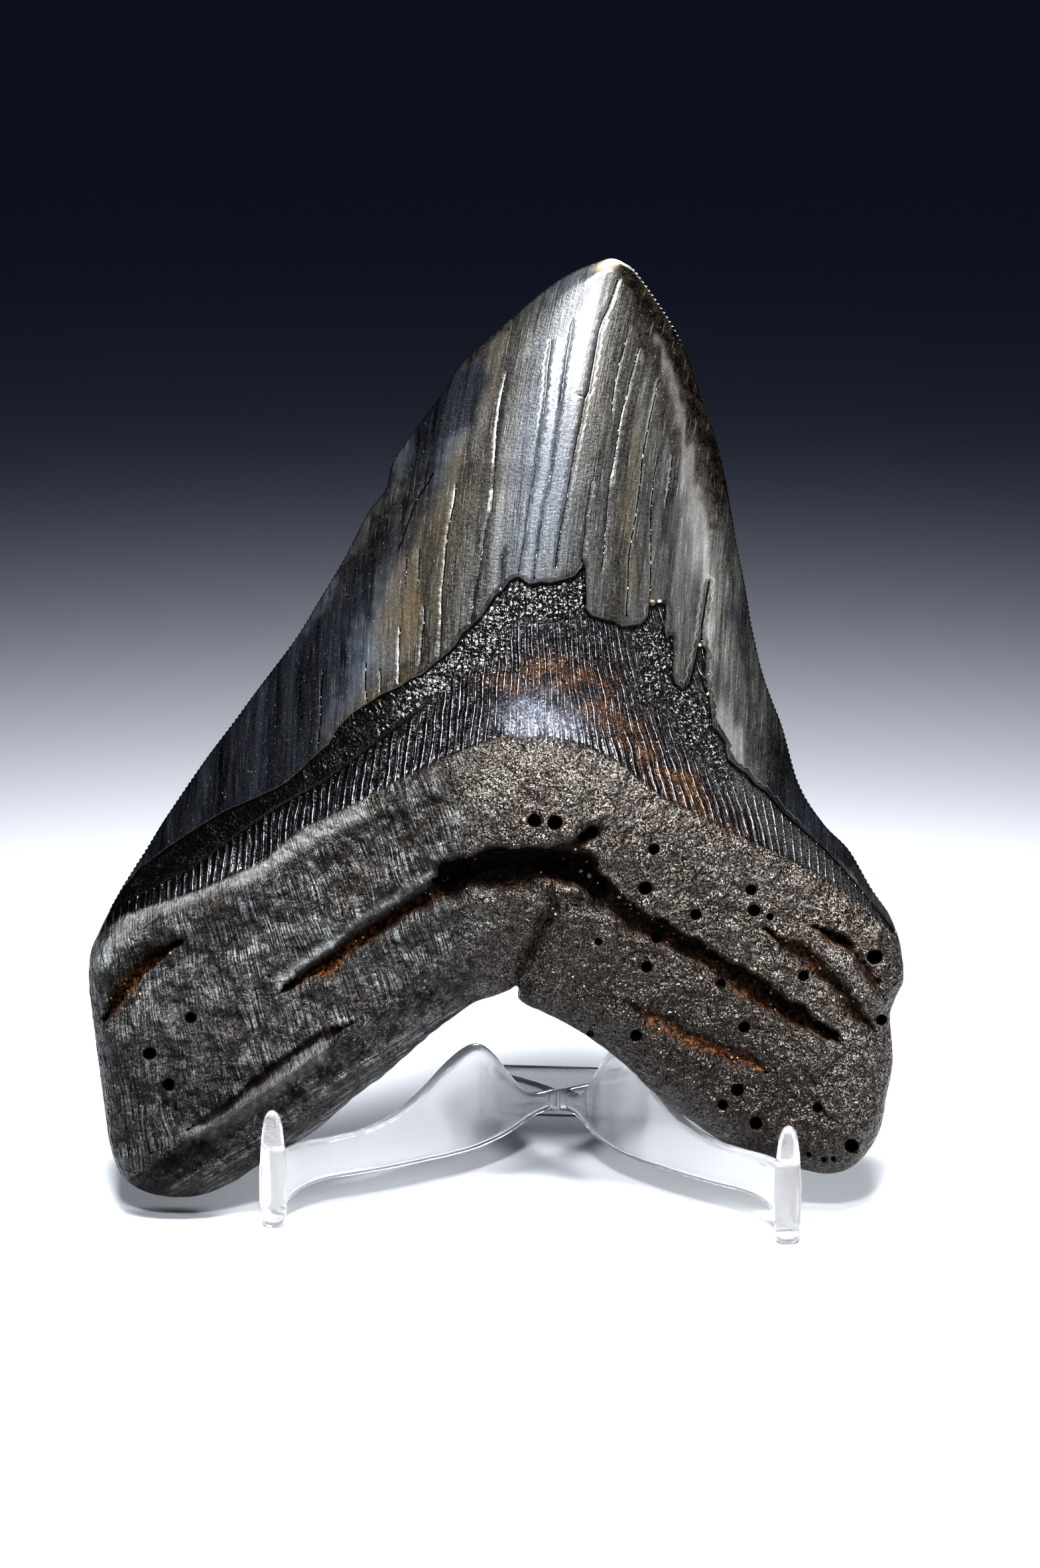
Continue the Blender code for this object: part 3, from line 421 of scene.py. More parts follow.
def distance_to(points, line, reach=math.inf):
    """Distance from each point to a line, left at infinity beyond the reach."""
    best = np.full(len(points), np.inf)
    low, high = line.min(axis=0) - reach, line.max(axis=0) + reach
    near = np.flatnonzero(np.all((points >= low) & (points <= high), axis=1))
    close = points[near]
    found = np.full(len(close), np.inf)
    for start, end in zip(line, line[1:]):
        run = end - start
        share = np.clip((close - start) @ run / max(run @ run, 1e-9), 0.0, 1.0)
        gap = close - (start + share[:, None] * run)
        found = np.minimum(found, np.hypot(gap[:, 0], gap[:, 1]))
    best[near] = found
    return best


def beside(points, line, reach):
    """Distance from each point to a line within reach, and whether it is on the line's left."""
    best, left = np.full(len(points), np.inf), np.zeros(len(points), dtype=bool)
    low, high = line.min(axis=0) - reach, line.max(axis=0) + reach
    near = np.flatnonzero(np.all((points >= low) & (points <= high), axis=1))
    close = points[near]
    found, side = np.full(len(close), np.inf), np.zeros(len(close), dtype=bool)
    for start, end in zip(line, line[1:]):
        run = end - start
        to = close - start
        share = np.clip(to @ run / max(run @ run, 1e-9), 0.0, 1.0)
        gap = to - share[:, None] * run
        away = np.hypot(gap[:, 0], gap[:, 1])
        nearer = away < found
        found = np.where(nearer, away, found)
        side = np.where(nearer, run[0] * to[:, 1] - run[1] * to[:, 0] > 0.0, side)
    best[near], left[near] = found, side
    return best, left


def inside(points, loop):
    """Whether each point lies inside a closed loop."""
    x, z = points[:, 0], points[:, 1]
    odd = np.zeros(len(points), dtype=bool)
    for (x1, z1), (x2, z2) in zip(loop, np.roll(loop, -1, axis=0)):
        crosses = (z1 > z) != (z2 > z)
        rise = z2 - z1 if abs(z2 - z1) > 1e-9 else 1e-9
        odd ^= crosses & (x < (x2 - x1) * (z - z1) / rise + x1)
    return odd


def smooth_step(low, high, value):
    """A smooth rise from 0 at low to 1 at high."""
    t = np.clip((value - low) / (high - low), 0.0, 1.0)
    return t * t * (3.0 - 2.0 * t)


def wobble(u, v, size, seed):
    """Smooth noise from -1 to 1, with its sizes across and along in millimetres."""
    across, along = size if isinstance(size, tuple) else (size, size)
    return np.array([
        noise.noise(Vector((x, z, seed))) for x, z in zip((u / across).tolist(),
                                                          (v / along).tolist())
    ])


def swell(u, v, centre, size):
    """A soft hump, 1 at its centre."""
    return np.exp(-((u - centre[0]) / size[0]) ** 2 - ((v - centre[1]) / size[1]) ** 2)


def oval(u, v, spot):
    """A stain's soft oval, 1 at its centre."""
    centre_u, centre_v, long, short, turn, strength = spot
    cos, sin = math.cos(math.radians(turn)), math.sin(math.radians(turn))
    a = ((u - centre_u) * cos + (v - centre_v) * sin) / long
    b = ((v - centre_v) * cos - (u - centre_u) * sin) / short
    return strength * np.exp(-(a * a + b * b) ** 1.4)


def to_the_left(line):
    """Unit vectors square to a line, on its left."""
    along = np.gradient(line, axis=0)
    side = np.column_stack([-along[:, 1], along[:, 0]])
    return side / np.maximum(np.linalg.norm(side, axis=1), 1e-9)[:, None]


def crown_lens(u, v, power):
    """1 on the crown's middle line and 0 at its two cutting edges."""
    left = np.array([TIP[0]] + LEFT_EDGE[::-1])
    right = np.array([TIP[-1]] + RIGHT_EDGE)
    low = np.interp(v, left[::-1, 1], left[::-1, 0])
    high = np.interp(v, right[::-1, 1], right[::-1, 0])
    across = np.clip((u - 0.5 * (low + high)) / (0.5 * (high - low)), -1.0, 1.0)
    return (1.0 - across**2) ** power


def crown_height(u, v, tip, growth, bluntness):
    """Height of the crown's lens, which grows from the tip down."""
    taper = np.clip((CROWN_TOP - v) / (CROWN_TOP - CROWN_BASE), 0.0, 1.2)
    return (tip + growth * taper**0.8) * crown_lens(u, v, bluntness)


def round_edge(away, radius):
    """A quarter circle's rise, 0 at the outline and 1 from one radius inward."""
    t = np.clip(away / radius, 0.0, 1.0)
    return np.sqrt(np.clip(1.0 - (1.0 - t) ** 2, 0.0, 1.0))


def grain_line(u, v):
    """How far across the crown's grain a point lies: the grain leans more towards the tip."""
    return u - 0.05 * v - (0.1 / 53.0) * np.maximum(v - 85.0, 0.0) ** 2


def flute_line(u, v):
    """How far across the bourlette's flutes a point lies: they fan out downward."""
    side = u - 2.0
    lean = np.where(u > 2.0, -0.40, -0.20) * (side / 18.0) * np.exp(-((side / 32.0) ** 2))
    across = u - lean * (v - 65.0)
    return across + 0.45 * wobble(u, v, 6.0, 3.1) + 0.16 * wobble(u, v, (1.8, 1.6), 7.7)


def fibre_line(u, v):
    """How far across the root's fibres a point lies: upright at the left rim, leaning inward."""
    lean = -0.10 - 0.22 * np.clip((u + 62.0) / 27.0, 0.0, 1.0)
    bent = smooth_step(-1.5, -7.0, v - (11.0 + (u + 50.0) * 0.66))
    upright = (u - lean * (v - 20.0)) * (1.0 - bent)
    return upright + bent * (v - 0.62 * u) + 0.5 * wobble(u, v, 5.0, 9.3)


def upper_mask(u, v, edge, width):
    """0 below an edge line and 1 above it, with a narrow step between."""
    line = np.array(edge)
    around = [(80.0, line[-1, 1]), (80.0, 160.0), (-80.0, 160.0), (-80.0, line[0, 1])]
    points = np.column_stack([u, v])
    away = distance_to(points, line, 2.0)
    return np.where(inside(points, np.vstack([line, around])), smooth_step(0.0, width, away), 0.0)


def along_lines(u, v, lines, column):
    """Sum of soft-sided grooves or rims, weighed by one of their columns."""
    total = np.zeros(len(u))
    points = np.column_stack([u, v])
    for entry in lines:
        away = distance_to(points, smooth_curve(entry[-1], 1.0), 6.0)
        share = np.clip(1.0 - (away / (1.6 * entry[0])) ** 2, 0.0, 1.0) ** 1.5
        total += entry[column] * share
    return total


def groove_marks(u, v, lines):
    """Depth of the root's grooves and their share of silt, which also carries painted shade: the
    upper wall is the steeper one.
    """
    depth, silt = np.zeros(len(u)), np.zeros(len(u))
    shift = 0.55 * wobble(u, v, 3.0, 71.0) + 0.28 * wobble(u, v, 1.1, 72.0)
    points = np.column_stack([u + 0.6 * shift, v + shift])
    broad = 1.0 + 0.5 * wobble(u, v, 5.0, 73.0)
    for half, deep, amount, line in lines:
        away, left = beside(points, smooth_curve(line, 1.0), 8.0)
        taper = np.ones(len(u))
        for x, z in (line[0], line[-1]):
            if math.hypot(x, z - 51.0) > 14.0:
                taper = np.minimum(taper, smooth_step(-3.0, 8.0, np.hypot(u - x, v - z)))
        reach = half * broad * taper * np.where(left, 0.95, 2.2)
        share = np.clip(1.0 - (away / reach) ** 2, 0.0, 1.0) ** np.where(left, 0.35, 1.2)
        depth = np.maximum(depth, deep * share)
        silt = np.maximum(silt, amount * share)
    return depth, silt


def crack_marks(u, v, cracks):
    """Depth of the cracks, how close each point is to one, and how much painted glint it carries
    there.
    """
    depth, mark, chalk = np.zeros(len(u)), np.zeros(len(u)), np.zeros(len(u))
    points = np.column_stack([u, v])
    for half, deep, pale, line in cracks:
        curve = wander(smooth_curve(line, 0.35), 0.10, deep)
        away = distance_to(points, curve, 2.0)
        share = np.clip(1.0 - away / half, 0.0, 1.0)
        depth = np.maximum(depth, deep * share)
        nearer = share > mark
        chalk = np.where(nearer, pale, chalk)
        mark = np.maximum(mark, share)
    return depth, mark, chalk


def wander(line, amount, seed):
    """The same line, wandering a little from side to side."""
    step = wobble(line[:, 0], line[:, 1], 0.9, 20.0 + seed * 7.0)
    return line + amount * step[:, None] * to_the_left(line)


def bore_marks(u, v, bores):
    """Depth of the bore holes and a mark that fills them with painted shade."""
    depth, mark = np.zeros(len(u)), np.zeros(len(u))
    for (x, z), radius in bores:
        away = np.hypot(u - x, v - z)
        depth += BORE_DEPTH * radius * (1.0 - smooth_step(0.62 * radius, 1.0 * radius, away))
        mark = np.maximum(mark, 1.0 - smooth_step(0.75 * radius, 1.05 * radius, away))
    return depth, mark


def pores(u, v, region, count, seed):
    """Small open pores scattered over a region."""
    draw = np.random.default_rng(seed)
    depth = np.zeros(len(u))
    for _ in range(count):
        x, z = draw.uniform(-60.0, 56.0), draw.uniform(4.0, 68.0)
        radius, deep = draw.uniform(0.35, 0.75), draw.uniform(0.2, 0.5)
        near = (np.abs(u - x) < 1.5) & (np.abs(v - z) < 1.5)
        away = np.hypot(u[near] - x, v[near] - z)
        depth[near] += deep * np.clip(1.0 - (away / radius) ** 2, 0.0, 1.0)
    return depth * region


def inner_form(u, v, away):
    """The inner face's broad form."""
    crown = crown_height(u, v, TIP_FRONT, CROWN_FRONT, 0.8)
    radius = ROOT_EDGE_FRONT + 5.0 * swell(u, v, (0.0, 36.0), (18.0, 14.0))
    root = ROOT_FRONT + 8.5 * swell(u, v, (4.0, 58.0), (27.0, 17.0))
    top = np.array(ROOT_TOP)
    share = smooth_step(-6.0, 8.0, v - np.interp(u, top[:, 0], top[:, 1]))
    return share * crown + (1.0 - share) * root * round_edge(away, radius)


def outer_form(u, v, away):
    """The outer face's broad form."""
    crown = crown_height(u, v, TIP_BACK, CROWN_BACK, 0.9)
    root = ROOT_BACK + 1.2 * swell(u, v, (0.0, 46.0), (34.0, 18.0))
    share = smooth_step(38.0, 52.0, v)
    return share * crown + (1.0 - share) * root * round_edge(away, ROOT_EDGE_BACK)


def stains(u, v):
    """Each stain's strength at each point, with wavering edges."""
    shift_u = u + 1.6 * wobble(u, v, 6.0, 41.0) + 0.7 * wobble(u, v, 2.0, 42.0)
    shift_v = v + 2.2 * wobble(u, v, 7.0, 43.0) + 0.8 * wobble(u, v, 2.0, 44.0)
    return {
        name: np.clip(sum(oval(shift_u, shift_v, spot) for spot in spots), 0.0, 1.0)
        for name, spots in STAINS.items()
    }


def inner_face(points, outline):
    """Height of the inner face and the marks that colour it."""
    u, v = points[:, 0], points[:, 1]
    away = distance_to(points, outline)
    settings = bpy.context.scene.fossil_tooth
    enamel = upper_mask(u, v, ENAMEL_EDGE, STEP_WIDTH)
    above_root = upper_mask(u, v, ROOT_TOP, 0.5)
    band = above_root * (1.0 - enamel)
    root = (1.0 - above_root) * (1.0 - enamel)
    marks = stains(u, v)
    marks["bare"] = marks["bare"] * band
    across, flutes, fibres = grain_line(u, v), flute_line(u, v), fibre_line(u, v)
    left = smooth_step(-2.0, -14.0, u) * root
    ledge = band * upper_mask(u, v, LEDGE, 0.3) * smooth_step(-9.0, -17.0, u)

    height = inner_form(u, v, away)
    relief = enamel * settings.enamel_step
    relief += enamel * (0.10 * wobble(across, v, (3.6, 60.0), 2.0)
                        + 0.05 * wobble(across, v, (1.1, 24.0), 3.0))
    relief += along_lines(u, v, RIMS, 1) * (1.0 - enamel)
    groove, sediment = groove_marks(u, v, GROOVES)
    relief -= groove
    depth, crack, chalk = crack_marks(u, v, CRACKS)
    relief -= depth * enamel * settings.crack_depth
    turn = flutes / settings.flute_pitch
    ridge = (0.5 - 0.5 * np.cos(2.0 * np.pi * turn)) ** 2
    strength = np.clip(0.75 + 0.6 * wobble(u, v, (1.2, 3.5), 5.0), 0.15, 1.2)
    fluted = band * (1.0 - np.maximum(marks["bare"], marks["smooth"])) * (1.0 - ledge)
    relief += fluted * 0.20 * ridge * strength
    relief += 0.65 * ledge
    relief += band * (0.10 * wobble(u, v, 1.8, 6.0)
                      + 0.22 * marks["bare"] * wobble(u, v, 0.9, 6.5))
    relief += root * (0.70 * wobble(u, v, 8.0, 8.0) + 0.62 * wobble(u, v, 3.2, 9.0)
                      + 0.30 * wobble(u, v, 1.3, 10.0))
    relief += left * (0.30 * wobble(fibres, v, (1.1, 7.0), 11.0)
                      + 0.55 * np.abs(wobble(u, v, 2.0, 12.0))
                      + 0.60 * np.abs(wobble(u, v, (9.0, 5.0), 12.5)))
    relief -= pores(u, v, root, settings.pore_count, 5)
    bore, hole = bore_marks(u, v, BORES)
    relief = relief * smooth_step(0.0, 2.2, away) - bore
    height = np.maximum(height + relief, LEAST_WALL)

    # Painted shadow: a dark strip just under the enamel's step, and a wider one under the ledge at
    # the left
    edge = distance_to(points, resample(ENAMEL_EDGE, 0.6), 3.0)
    marks["under"] = (1.0 - enamel) * (1.0 - smooth_step(0.15, 0.55, edge))
    # The lip mark is a painted highlight along the enamel's broken lower edge
    marks["lip"] = enamel * (1.0 - smooth_step(0.05, 0.28, edge))
    ledge_line = distance_to(points, smooth_curve(LEDGE, 1.0), 3.0)
    below = band * (1.0 - ledge) * smooth_step(-12.0, -20.0, u)
    marks["under"] = np.maximum(marks["under"], below * (1.0 - smooth_step(0.3, 2.6, ledge_line)))
    marks["rim"] = root * np.clip(along_lines(u, v, PALE_RIMS, 1), 0.0, 1.0)
    # The hole mark paints shade into the bore holes and the deepest hollow; the grooves' silt mark
    # also carries painted shade
    marks.update(enamel=enamel, band=band, crack=crack * enamel, chalk=chalk,
                 dirt=sediment * root, ledge=ledge,
                 hole=np.maximum(hole, smooth_step(3.1, 4.6, groove)))
    flows = {
        "flow": np.column_stack([across, v, np.zeros(len(u))]),
        "flute": np.column_stack([flutes, v, np.zeros(len(u))]),
        "fibre": np.column_stack([fibres, v, left]),
    }
    return height, marks, flows


def outer_face(points, outline):
    """Height of the outer face and the marks that colour it."""
    u, v = points[:, 0], points[:, 1]
    away = distance_to(points, outline)
    settings = bpy.context.scene.fossil_tooth
    enamel = upper_mask(u, v, OUTER_ENAMEL_EDGE, OUTER_STEP_WIDTH)
    root = 1.0 - enamel
    marks = stains(-u, v)
    across, fibres = grain_line(u, v), u + 0.5 * wobble(u, v, 5.0, 52.0)
    height = outer_form(u, v, away)
    relief = 0.6 * settings.enamel_step * enamel
    relief += enamel * (0.10 * wobble(across, v, (3.2, 46.0), 53.0)
                        + 0.04 * wobble(across, v, (1.2, 16.0), 54.0))
    groove, sediment = groove_marks(u, v, OUTER_GROOVES)
    relief -= groove
    depth, crack, chalk = crack_marks(u, v, OUTER_CRACKS)
    relief -= depth * enamel * settings.crack_depth
    relief += root * (0.36 * wobble(u, v, 7.0, 55.0) + 0.18 * wobble(u, v, 2.6, 56.0)
                      + 0.10 * wobble(fibres, v, (1.2, 6.0), 57.0))
    relief -= pores(u, v, root, settings.pore_count, 6)
    bore, hole = bore_marks(u, v, OUTER_BORES)
    relief = relief * smooth_step(0.0, 2.2, away) - bore
    height = np.maximum(height + relief, LEAST_WALL)
    top = smooth_step(-2.2, 0.2, v - np.interp(u, *np.array(OUTER_ENAMEL_EDGE).T))
    marks.update(dict.fromkeys(("bare", "ledge", "lip", "under", "rim"), np.zeros(len(u))))
    marks.update(enamel=enamel, band=top * root, crack=crack * enamel, chalk=chalk,
                 dirt=sediment * root, hole=hole)
    flows = {
        "flow": np.column_stack([across + OUTER_SHIFT, v, np.ones(len(u))]),
        "flute": np.column_stack([u + OUTER_SHIFT, v, np.ones(len(u))]),
        "fibre": np.column_stack([fibres + OUTER_SHIFT, v, 0.7 * root]),
    }
    return height, marks, flows


def as_seen(points, away):
    """Moves points in towards the eye's line, so detail is seen where it is drawn."""
    u, v = points[:, 0], points[:, 1]
    near = inner_form(u, v, np.full(len(u), 99.0)) * smooth_step(0.0, 10.0, away)
    shrink = 1.0 - near / EYE_DISTANCE
    return np.column_stack([u * shrink, EYE_HEIGHT + (v - EYE_HEIGHT) * shrink])


def inward_of(loop):
    """Unit vectors square to a closed loop, pointing in."""
    along = np.roll(loop, -1, axis=0) - np.roll(loop, 1, axis=0)
    inward = np.column_stack([along[:, 1], -along[:, 0]])
    return inward / np.linalg.norm(inward, axis=1)[:, None]


def plain_outline():
    """The outline without its saw teeth, with its first point again at the end."""
    line = smooth_curve(OUTLINE, 0.9, closed=True)
    return np.vstack([line, line[:1]])


def tooth_outline():
    """The outline, first smooth, then with saw teeth on its edges and a worn root."""
    line = smooth_curve(OUTLINE, SERRATION / 4.0, closed=True)
    u, v = line[:, 0], line[:, 1]
    crown = smooth_step(42.0, 48.0, v) * smooth_step(2.0, 5.0, np.hypot(u - 13.4, v - 142.3))
    saw = np.array([0.0, 0.5, 1.0, 0.5])[np.arange(len(line)) % 4]
    worn = np.clip(0.65 + 0.8 * wobble(u, v, 5.0, 61.0), 0.1, 1.2)
    ragged = 0.10 + 0.10 * wobble(u, v, 1.8, 62.0) + 0.10 * wobble(u, v, 4.5, 63.0)
    cut = crown * 0.20 * saw * worn + (1.0 - crown) * np.maximum(ragged, 0.0)
    return line, line + cut[:, None] * inward_of(line)


def offset_rows(outline, offsets, keep):
    """Rows of points just inside part of the outline."""
    inward = inward_of(outline)
    return [outline[keep] + offset * inward[keep] for offset in offsets]


def hex_grid(outline, spacing):
    """Points in staggered rows that cover the outline's box."""
    low, high = outline.min(axis=0), outline.max(axis=0)
    rows = []
    for row, z in enumerate(np.arange(low[1], high[1], spacing * math.sin(math.pi / 3))):
        x = np.arange(low[0], high[0], spacing) + 0.5 * spacing * (row % 2)
        rows.append(np.column_stack([x, np.full(len(x), z)]))
    return np.vstack(rows)


def rings(bores):
    """Points on each bore hole's lip, wall and floor."""
    found = []
    for centre, radius in bores:
        for share, count in ((1.02, 16), (0.80, 14), (0.60, 10), (0.25, 5)):
            turn = np.arange(count) * 2.0 * math.pi / count
            found.append(np.array(centre) + share * radius
                         * np.column_stack([np.cos(turn), np.sin(turn)]))
    return np.vstack(found)


def crack_rows(cracks):
    """Points along the middle and both lips of each crack."""
    found = []
    for half, deep, _, line in cracks:
        curve = wander(smooth_curve(line, 0.35), 0.10, deep)
        side = 1.2 * half * to_the_left(curve)
        found += [curve, curve + side, curve - side]
    return np.vstack(found)


def step_rows(edge, width):
    """Points along the foot and top of the enamel's step."""
    line = smooth_curve(edge, 0.32) if len(edge) < 30 else resample(edge, 0.32)
    side = to_the_left(line)
    return np.vstack([line - 0.35 * side, line - 0.02 * side, line + 0.5 * width * side,
                      line + width * side])


def resample(points, spacing):
    """Points evenly spaced along straight runs between the given ones."""
    given = np.array(points, dtype=float)
    lengths = np.concatenate([[0.0], np.cumsum(np.linalg.norm(np.diff(given, axis=0), axis=1))])
    at = np.linspace(0.0, lengths[-1], int(lengths[-1] / spacing) + 1)
    return np.column_stack([np.interp(at, lengths, column) for column in given.T])


def keep_apart(groups, cell=0.4):
    """Points of each group that keep their group's distance from all those kept before."""
    kept, cells = [], {}
    for points, least in groups:
        reach = int(math.ceil(least / cell))
        for x, z in points.tolist():
            i, j = int(x // cell), int(z // cell)
            if not any((x - p) ** 2 + (z - q) ** 2 < least * least
                       for a in range(i - reach, i + reach + 1)
                       for b in range(j - reach, j + reach + 1)
                       for p, q in cells.get((a, b), ())):
                kept.append((x, z))
                cells.setdefault((i, j), []).append((x, z))
    return np.array(kept)


def triangulate(outline, interior):
    """Triangles that fill the outline, with no edge that cuts across from rim to rim."""
    rim = len(outline)
    extra = interior
    while True:
        points = [tuple(p) for p in np.vstack([outline, extra])]
        edges = [(i, (i + 1) % rim) for i in range(rim)]
        out = delaunay_2d_cdt(points, edges, [], 1, 1e-6)
        coords, faces = np.array([tuple(v) for v in out[0]]), out[2]
        chords = set()
        for face in faces:
            for a, b in zip(face, face[1:] + face[:1]):
                if a < rim and b < rim and (b - a) % rim != 1 and (a - b) % rim != 1:
                    chords.add((min(a, b), max(a, b)))
        if not chords:
            return coords, faces
        middles = np.array([0.5 * (coords[a] + coords[b]) for a, b in sorted(chords)])
        extra = np.vstack([extra, middles])


def face_points(closed, regions, rows):
    """All inner points of one face, dense where its detail is fine."""
    outline = closed[:-1]
    groups = []
    for points, least in rows:
        points = points[inside(points, outline)]
        groups.append((points[distance_to(points, closed, 1.0) > RIM_CLEARANCE], least))
    for spacing, mask in regions:
        grid = hex_grid(outline, spacing)
        grid = grid[inside(grid, outline)]
        grid = grid[mask(grid[:, 0], grid[:, 1])]
        grid = grid[distance_to(grid, closed, 1.0) > max(RIM_CLEARANCE, 0.4 * spacing)]
        groups.append((grid, 0.55 * spacing))
    return keep_apart(groups)


def build_tooth():
    """The whole tooth as one closed mesh, with its marks stored on the points."""
    smooth, outline = tooth_outline()
    coarse = plain_outline()
    on_root = smooth[:, 1] < SHOULDER
    rim_rows = offset_rows(smooth, RIM_OFFSETS, on_root)
    edge_rows = offset_rows(smooth, EDGE_OFFSETS, ~on_root)

    def above(edge, width=STEP_WIDTH):
        """Whether points lie above an edge line."""
        return lambda u, v: upper_mask(u, v, edge, width) > 0.5

    def face(cracks, edge, width, bores, spacings, regions):
        """Triangles of one face, with closer points along its cracks, step, holes and rim."""
        fine, rim_least, edge_least = spacings
        rows = [(np.vstack([crack_rows(cracks), step_rows(edge, width), rings(bores)]), fine)]
        rows += [(row, rim_least) for row in rim_rows] + [(row, edge_least) for row in edge_rows]
        return triangulate(outline, face_points(coarse, regions, rows))

    enamel, bourlette = above(ENAMEL_EDGE), above(ROOT_TOP)
    inner, inner_faces = face(CRACKS, ENAMEL_EDGE, STEP_WIDTH, BORES, (0.11, 0.3, 0.32), [
        (BAND_SPACING, lambda u, v: bourlette(u, v) & ~enamel(u, v)),
        (ROOT_SPACING, lambda u, v: ~bourlette(u, v) & ~enamel(u, v)),
        (CROWN_SPACING, enamel),
    ])
    behind = above(OUTER_ENAMEL_EDGE, OUTER_STEP_WIDTH)
    outer, outer_faces = face(
        OUTER_CRACKS, OUTER_ENAMEL_EDGE, OUTER_STEP_WIDTH, OUTER_BORES, (0.14, 0.34, 0.4),
        [(OUTER_ROOT_SPACING, lambda u, v: ~behind(u, v)), (OUTER_CROWN_SPACING, behind)])

    rim = len(outline)
    height, marks, flows = inner_face(inner, coarse)
    depth, outer_marks, outer_flows = outer_face(outer, coarse)
    seen = as_seen(inner, distance_to(inner, coarse))
    height[:rim] = 0.0
    places = np.vstack([
        np.column_stack([seen[:, 0], -height, seen[:, 1]]),
        np.column_stack([outer[rim:, 0], depth[rim:], outer[rim:, 1]]),
    ])
    places[:rim, 0], places[:rim, 2] = outline[:, 0], outline[:, 1]
    faces = [tuple(face) for face in inner_faces]
    shift = len(inner) - rim
    for face in outer_faces:
        faces.append(tuple(i if i < rim else i + shift for i in reversed(face)))
    mesh = bpy.data.meshes.new("tooth_surface")
    mesh.from_pydata((places * MM).tolist(), [], faces)
    shape = bmesh.new()
    shape.from_mesh(mesh)
    bmesh.ops.recalc_face_normals(shape, faces=shape.faces)
    shape.to_mesh(mesh)
    shape.free()
    mesh.shade_smooth()
    for name, values in marks.items():
        layer = mesh.attributes.new(name, "FLOAT", "POINT")
        layer.data.foreach_set("value", np.concatenate([values, outer_marks[name][rim:]]))
    flows["place"], outer_flows["place"] = places[:len(inner)], np.vstack(
        [places[:rim], places[len(inner):]])
    for name, values in flows.items():
        layer = mesh.attributes.new(name, "FLOAT_VECTOR", "POINT")
        both = np.vstack([values, outer_flows[name][rim:]])
        layer.data.foreach_set("vector", both.ravel())
    return mesh


def on_inner_face(spots):
    """The inner face's points, as seen, for a list of places on it."""
    coarse = plain_outline()
    height, _, _ = inner_face(spots, coarse)
    seen = as_seen(spots, distance_to(spots, coarse))
    return np.column_stack([seen[:, 0], -height, seen[:, 1]])


class Wiring:
    """Adds nodes to one tree and joins them up."""

    def __init__(self, tree):
        self.tree = tree

    def join(self, value, socket):
        """Links a socket, or sets a constant; a colour is given without its alpha."""
        if isinstance(value, bpy.types.NodeSocket):
            self.tree.links.new(value, socket)
        elif value is not None:
            socket.default_value = (*value, 1.0) if socket.type == "RGBA" else value

    def node(self, kind, *inputs, **settings):
        """A new node with its first inputs joined in order."""
        made = self.tree.nodes.new(kind)
        for name, value in settings.items():
            setattr(made, name, value)
        for socket, value in zip(made.inputs, inputs):
            self.join(value, socket)
        return made

    def math(self, operation, a, b=None, clamp=False):
        """One Math node's result."""
        return self.node("ShaderNodeMath", a, b, operation=operation, use_clamp=clamp).outputs[0]

    def plus(self, total, *terms, clamp=False):
        """The sum of all terms, kept from 0 to 1 at the end if clamped."""
        for term in terms:
            total = self.math("ADD", total, term, clamp and term is terms[-1])
        return total

    def times(self, product, *factors):
        """The product of all factors."""
        for factor in factors:
            product = self.math("MULTIPLY", product, factor)
        return product

    def minus(self, a, b):
        """The first value less the second."""
        return self.math("SUBTRACT", a, b)

    def most(self, a, b):
        """The larger of two values."""
        return self.math("MAXIMUM", a, b)

    def swing(self, value, amount):
        """How far a value lies from the middle, scaled."""
        return self.times(self.minus(value, 0.5), amount)

    def mark(self, name):
        """One of the mesh's marks."""
        return self.node("ShaderNodeAttribute", attribute_name=name).outputs["Fac"]

    def flow(self, name):
        """One of the mesh's flows."""
        return self.node("ShaderNodeAttribute", attribute_name=name).outputs["Vector"]

    def scaled(self, vector, scale):
        """A vector scaled along each axis."""
        return self.node("ShaderNodeVectorMath", vector, scale, operation="MULTIPLY").outputs[0]

    def noise(self, vector, scale, detail=2.0, rough=0.5, twist=0.0):
        """Soft noise from 0 to 1."""
        made = self.node("ShaderNodeTexNoise")
        for name, value in (("Vector", vector), ("Scale", scale), ("Detail", detail),
                            ("Roughness", rough), ("Distortion", twist)):
            self.join(value, made.inputs[name])
        return made.outputs["Fac"]

    def spread(self, value, low, high, to_low=0.0, to_high=1.0):
        """A smooth step from one range to another."""
        made = self.node("ShaderNodeMapRange", value, low, high, to_low, to_high)
        made.interpolation_type = "SMOOTHSTEP"
        return made.outputs[0]

    def mix(self, kind, first, share, a, b):
        """A Mix node of one kind of data, whose two inputs start at a given place."""
        made = self.node("ShaderNodeMix", data_type=kind)
        for value, socket in zip((share, a, b), (0, first, first + 1)):
            self.join(value, made.inputs[socket])
        return made.outputs

    def blend(self, share, a, b):
        """A mix of two colours."""
        return self.mix("RGBA", 6, share, a, b)[2]

    def between(self, share, a, b):
        """A mix of two numbers."""
        return self.mix("FLOAT", 2, share, a, b)[0]

    def stain(self, share, colour, tone, low, high):
        """A colour mixed with one that runs from low to high with the tone."""
        return self.blend(share, colour, self.blend(tone, low, high))

    def group(self, tree, **inputs):
        """A node group's outputs, with its named inputs joined."""
        made = self.tree.nodes.new("ShaderNodeGroup")
        made.node_tree = tree
        for name, value in inputs.items():
            self.join(value, made.inputs[name])
        return made.outputs

    def bump(self, shader, distance, height):
        """Raises the surface by a height, which counts in units of the distance."""
        raised = self.node("ShaderNodeBump")
        self.join(distance, raised.inputs["Distance"])
        self.join(height, raised.inputs["Height"])
        self.join(raised.outputs[0], shader.inputs["Normal"])


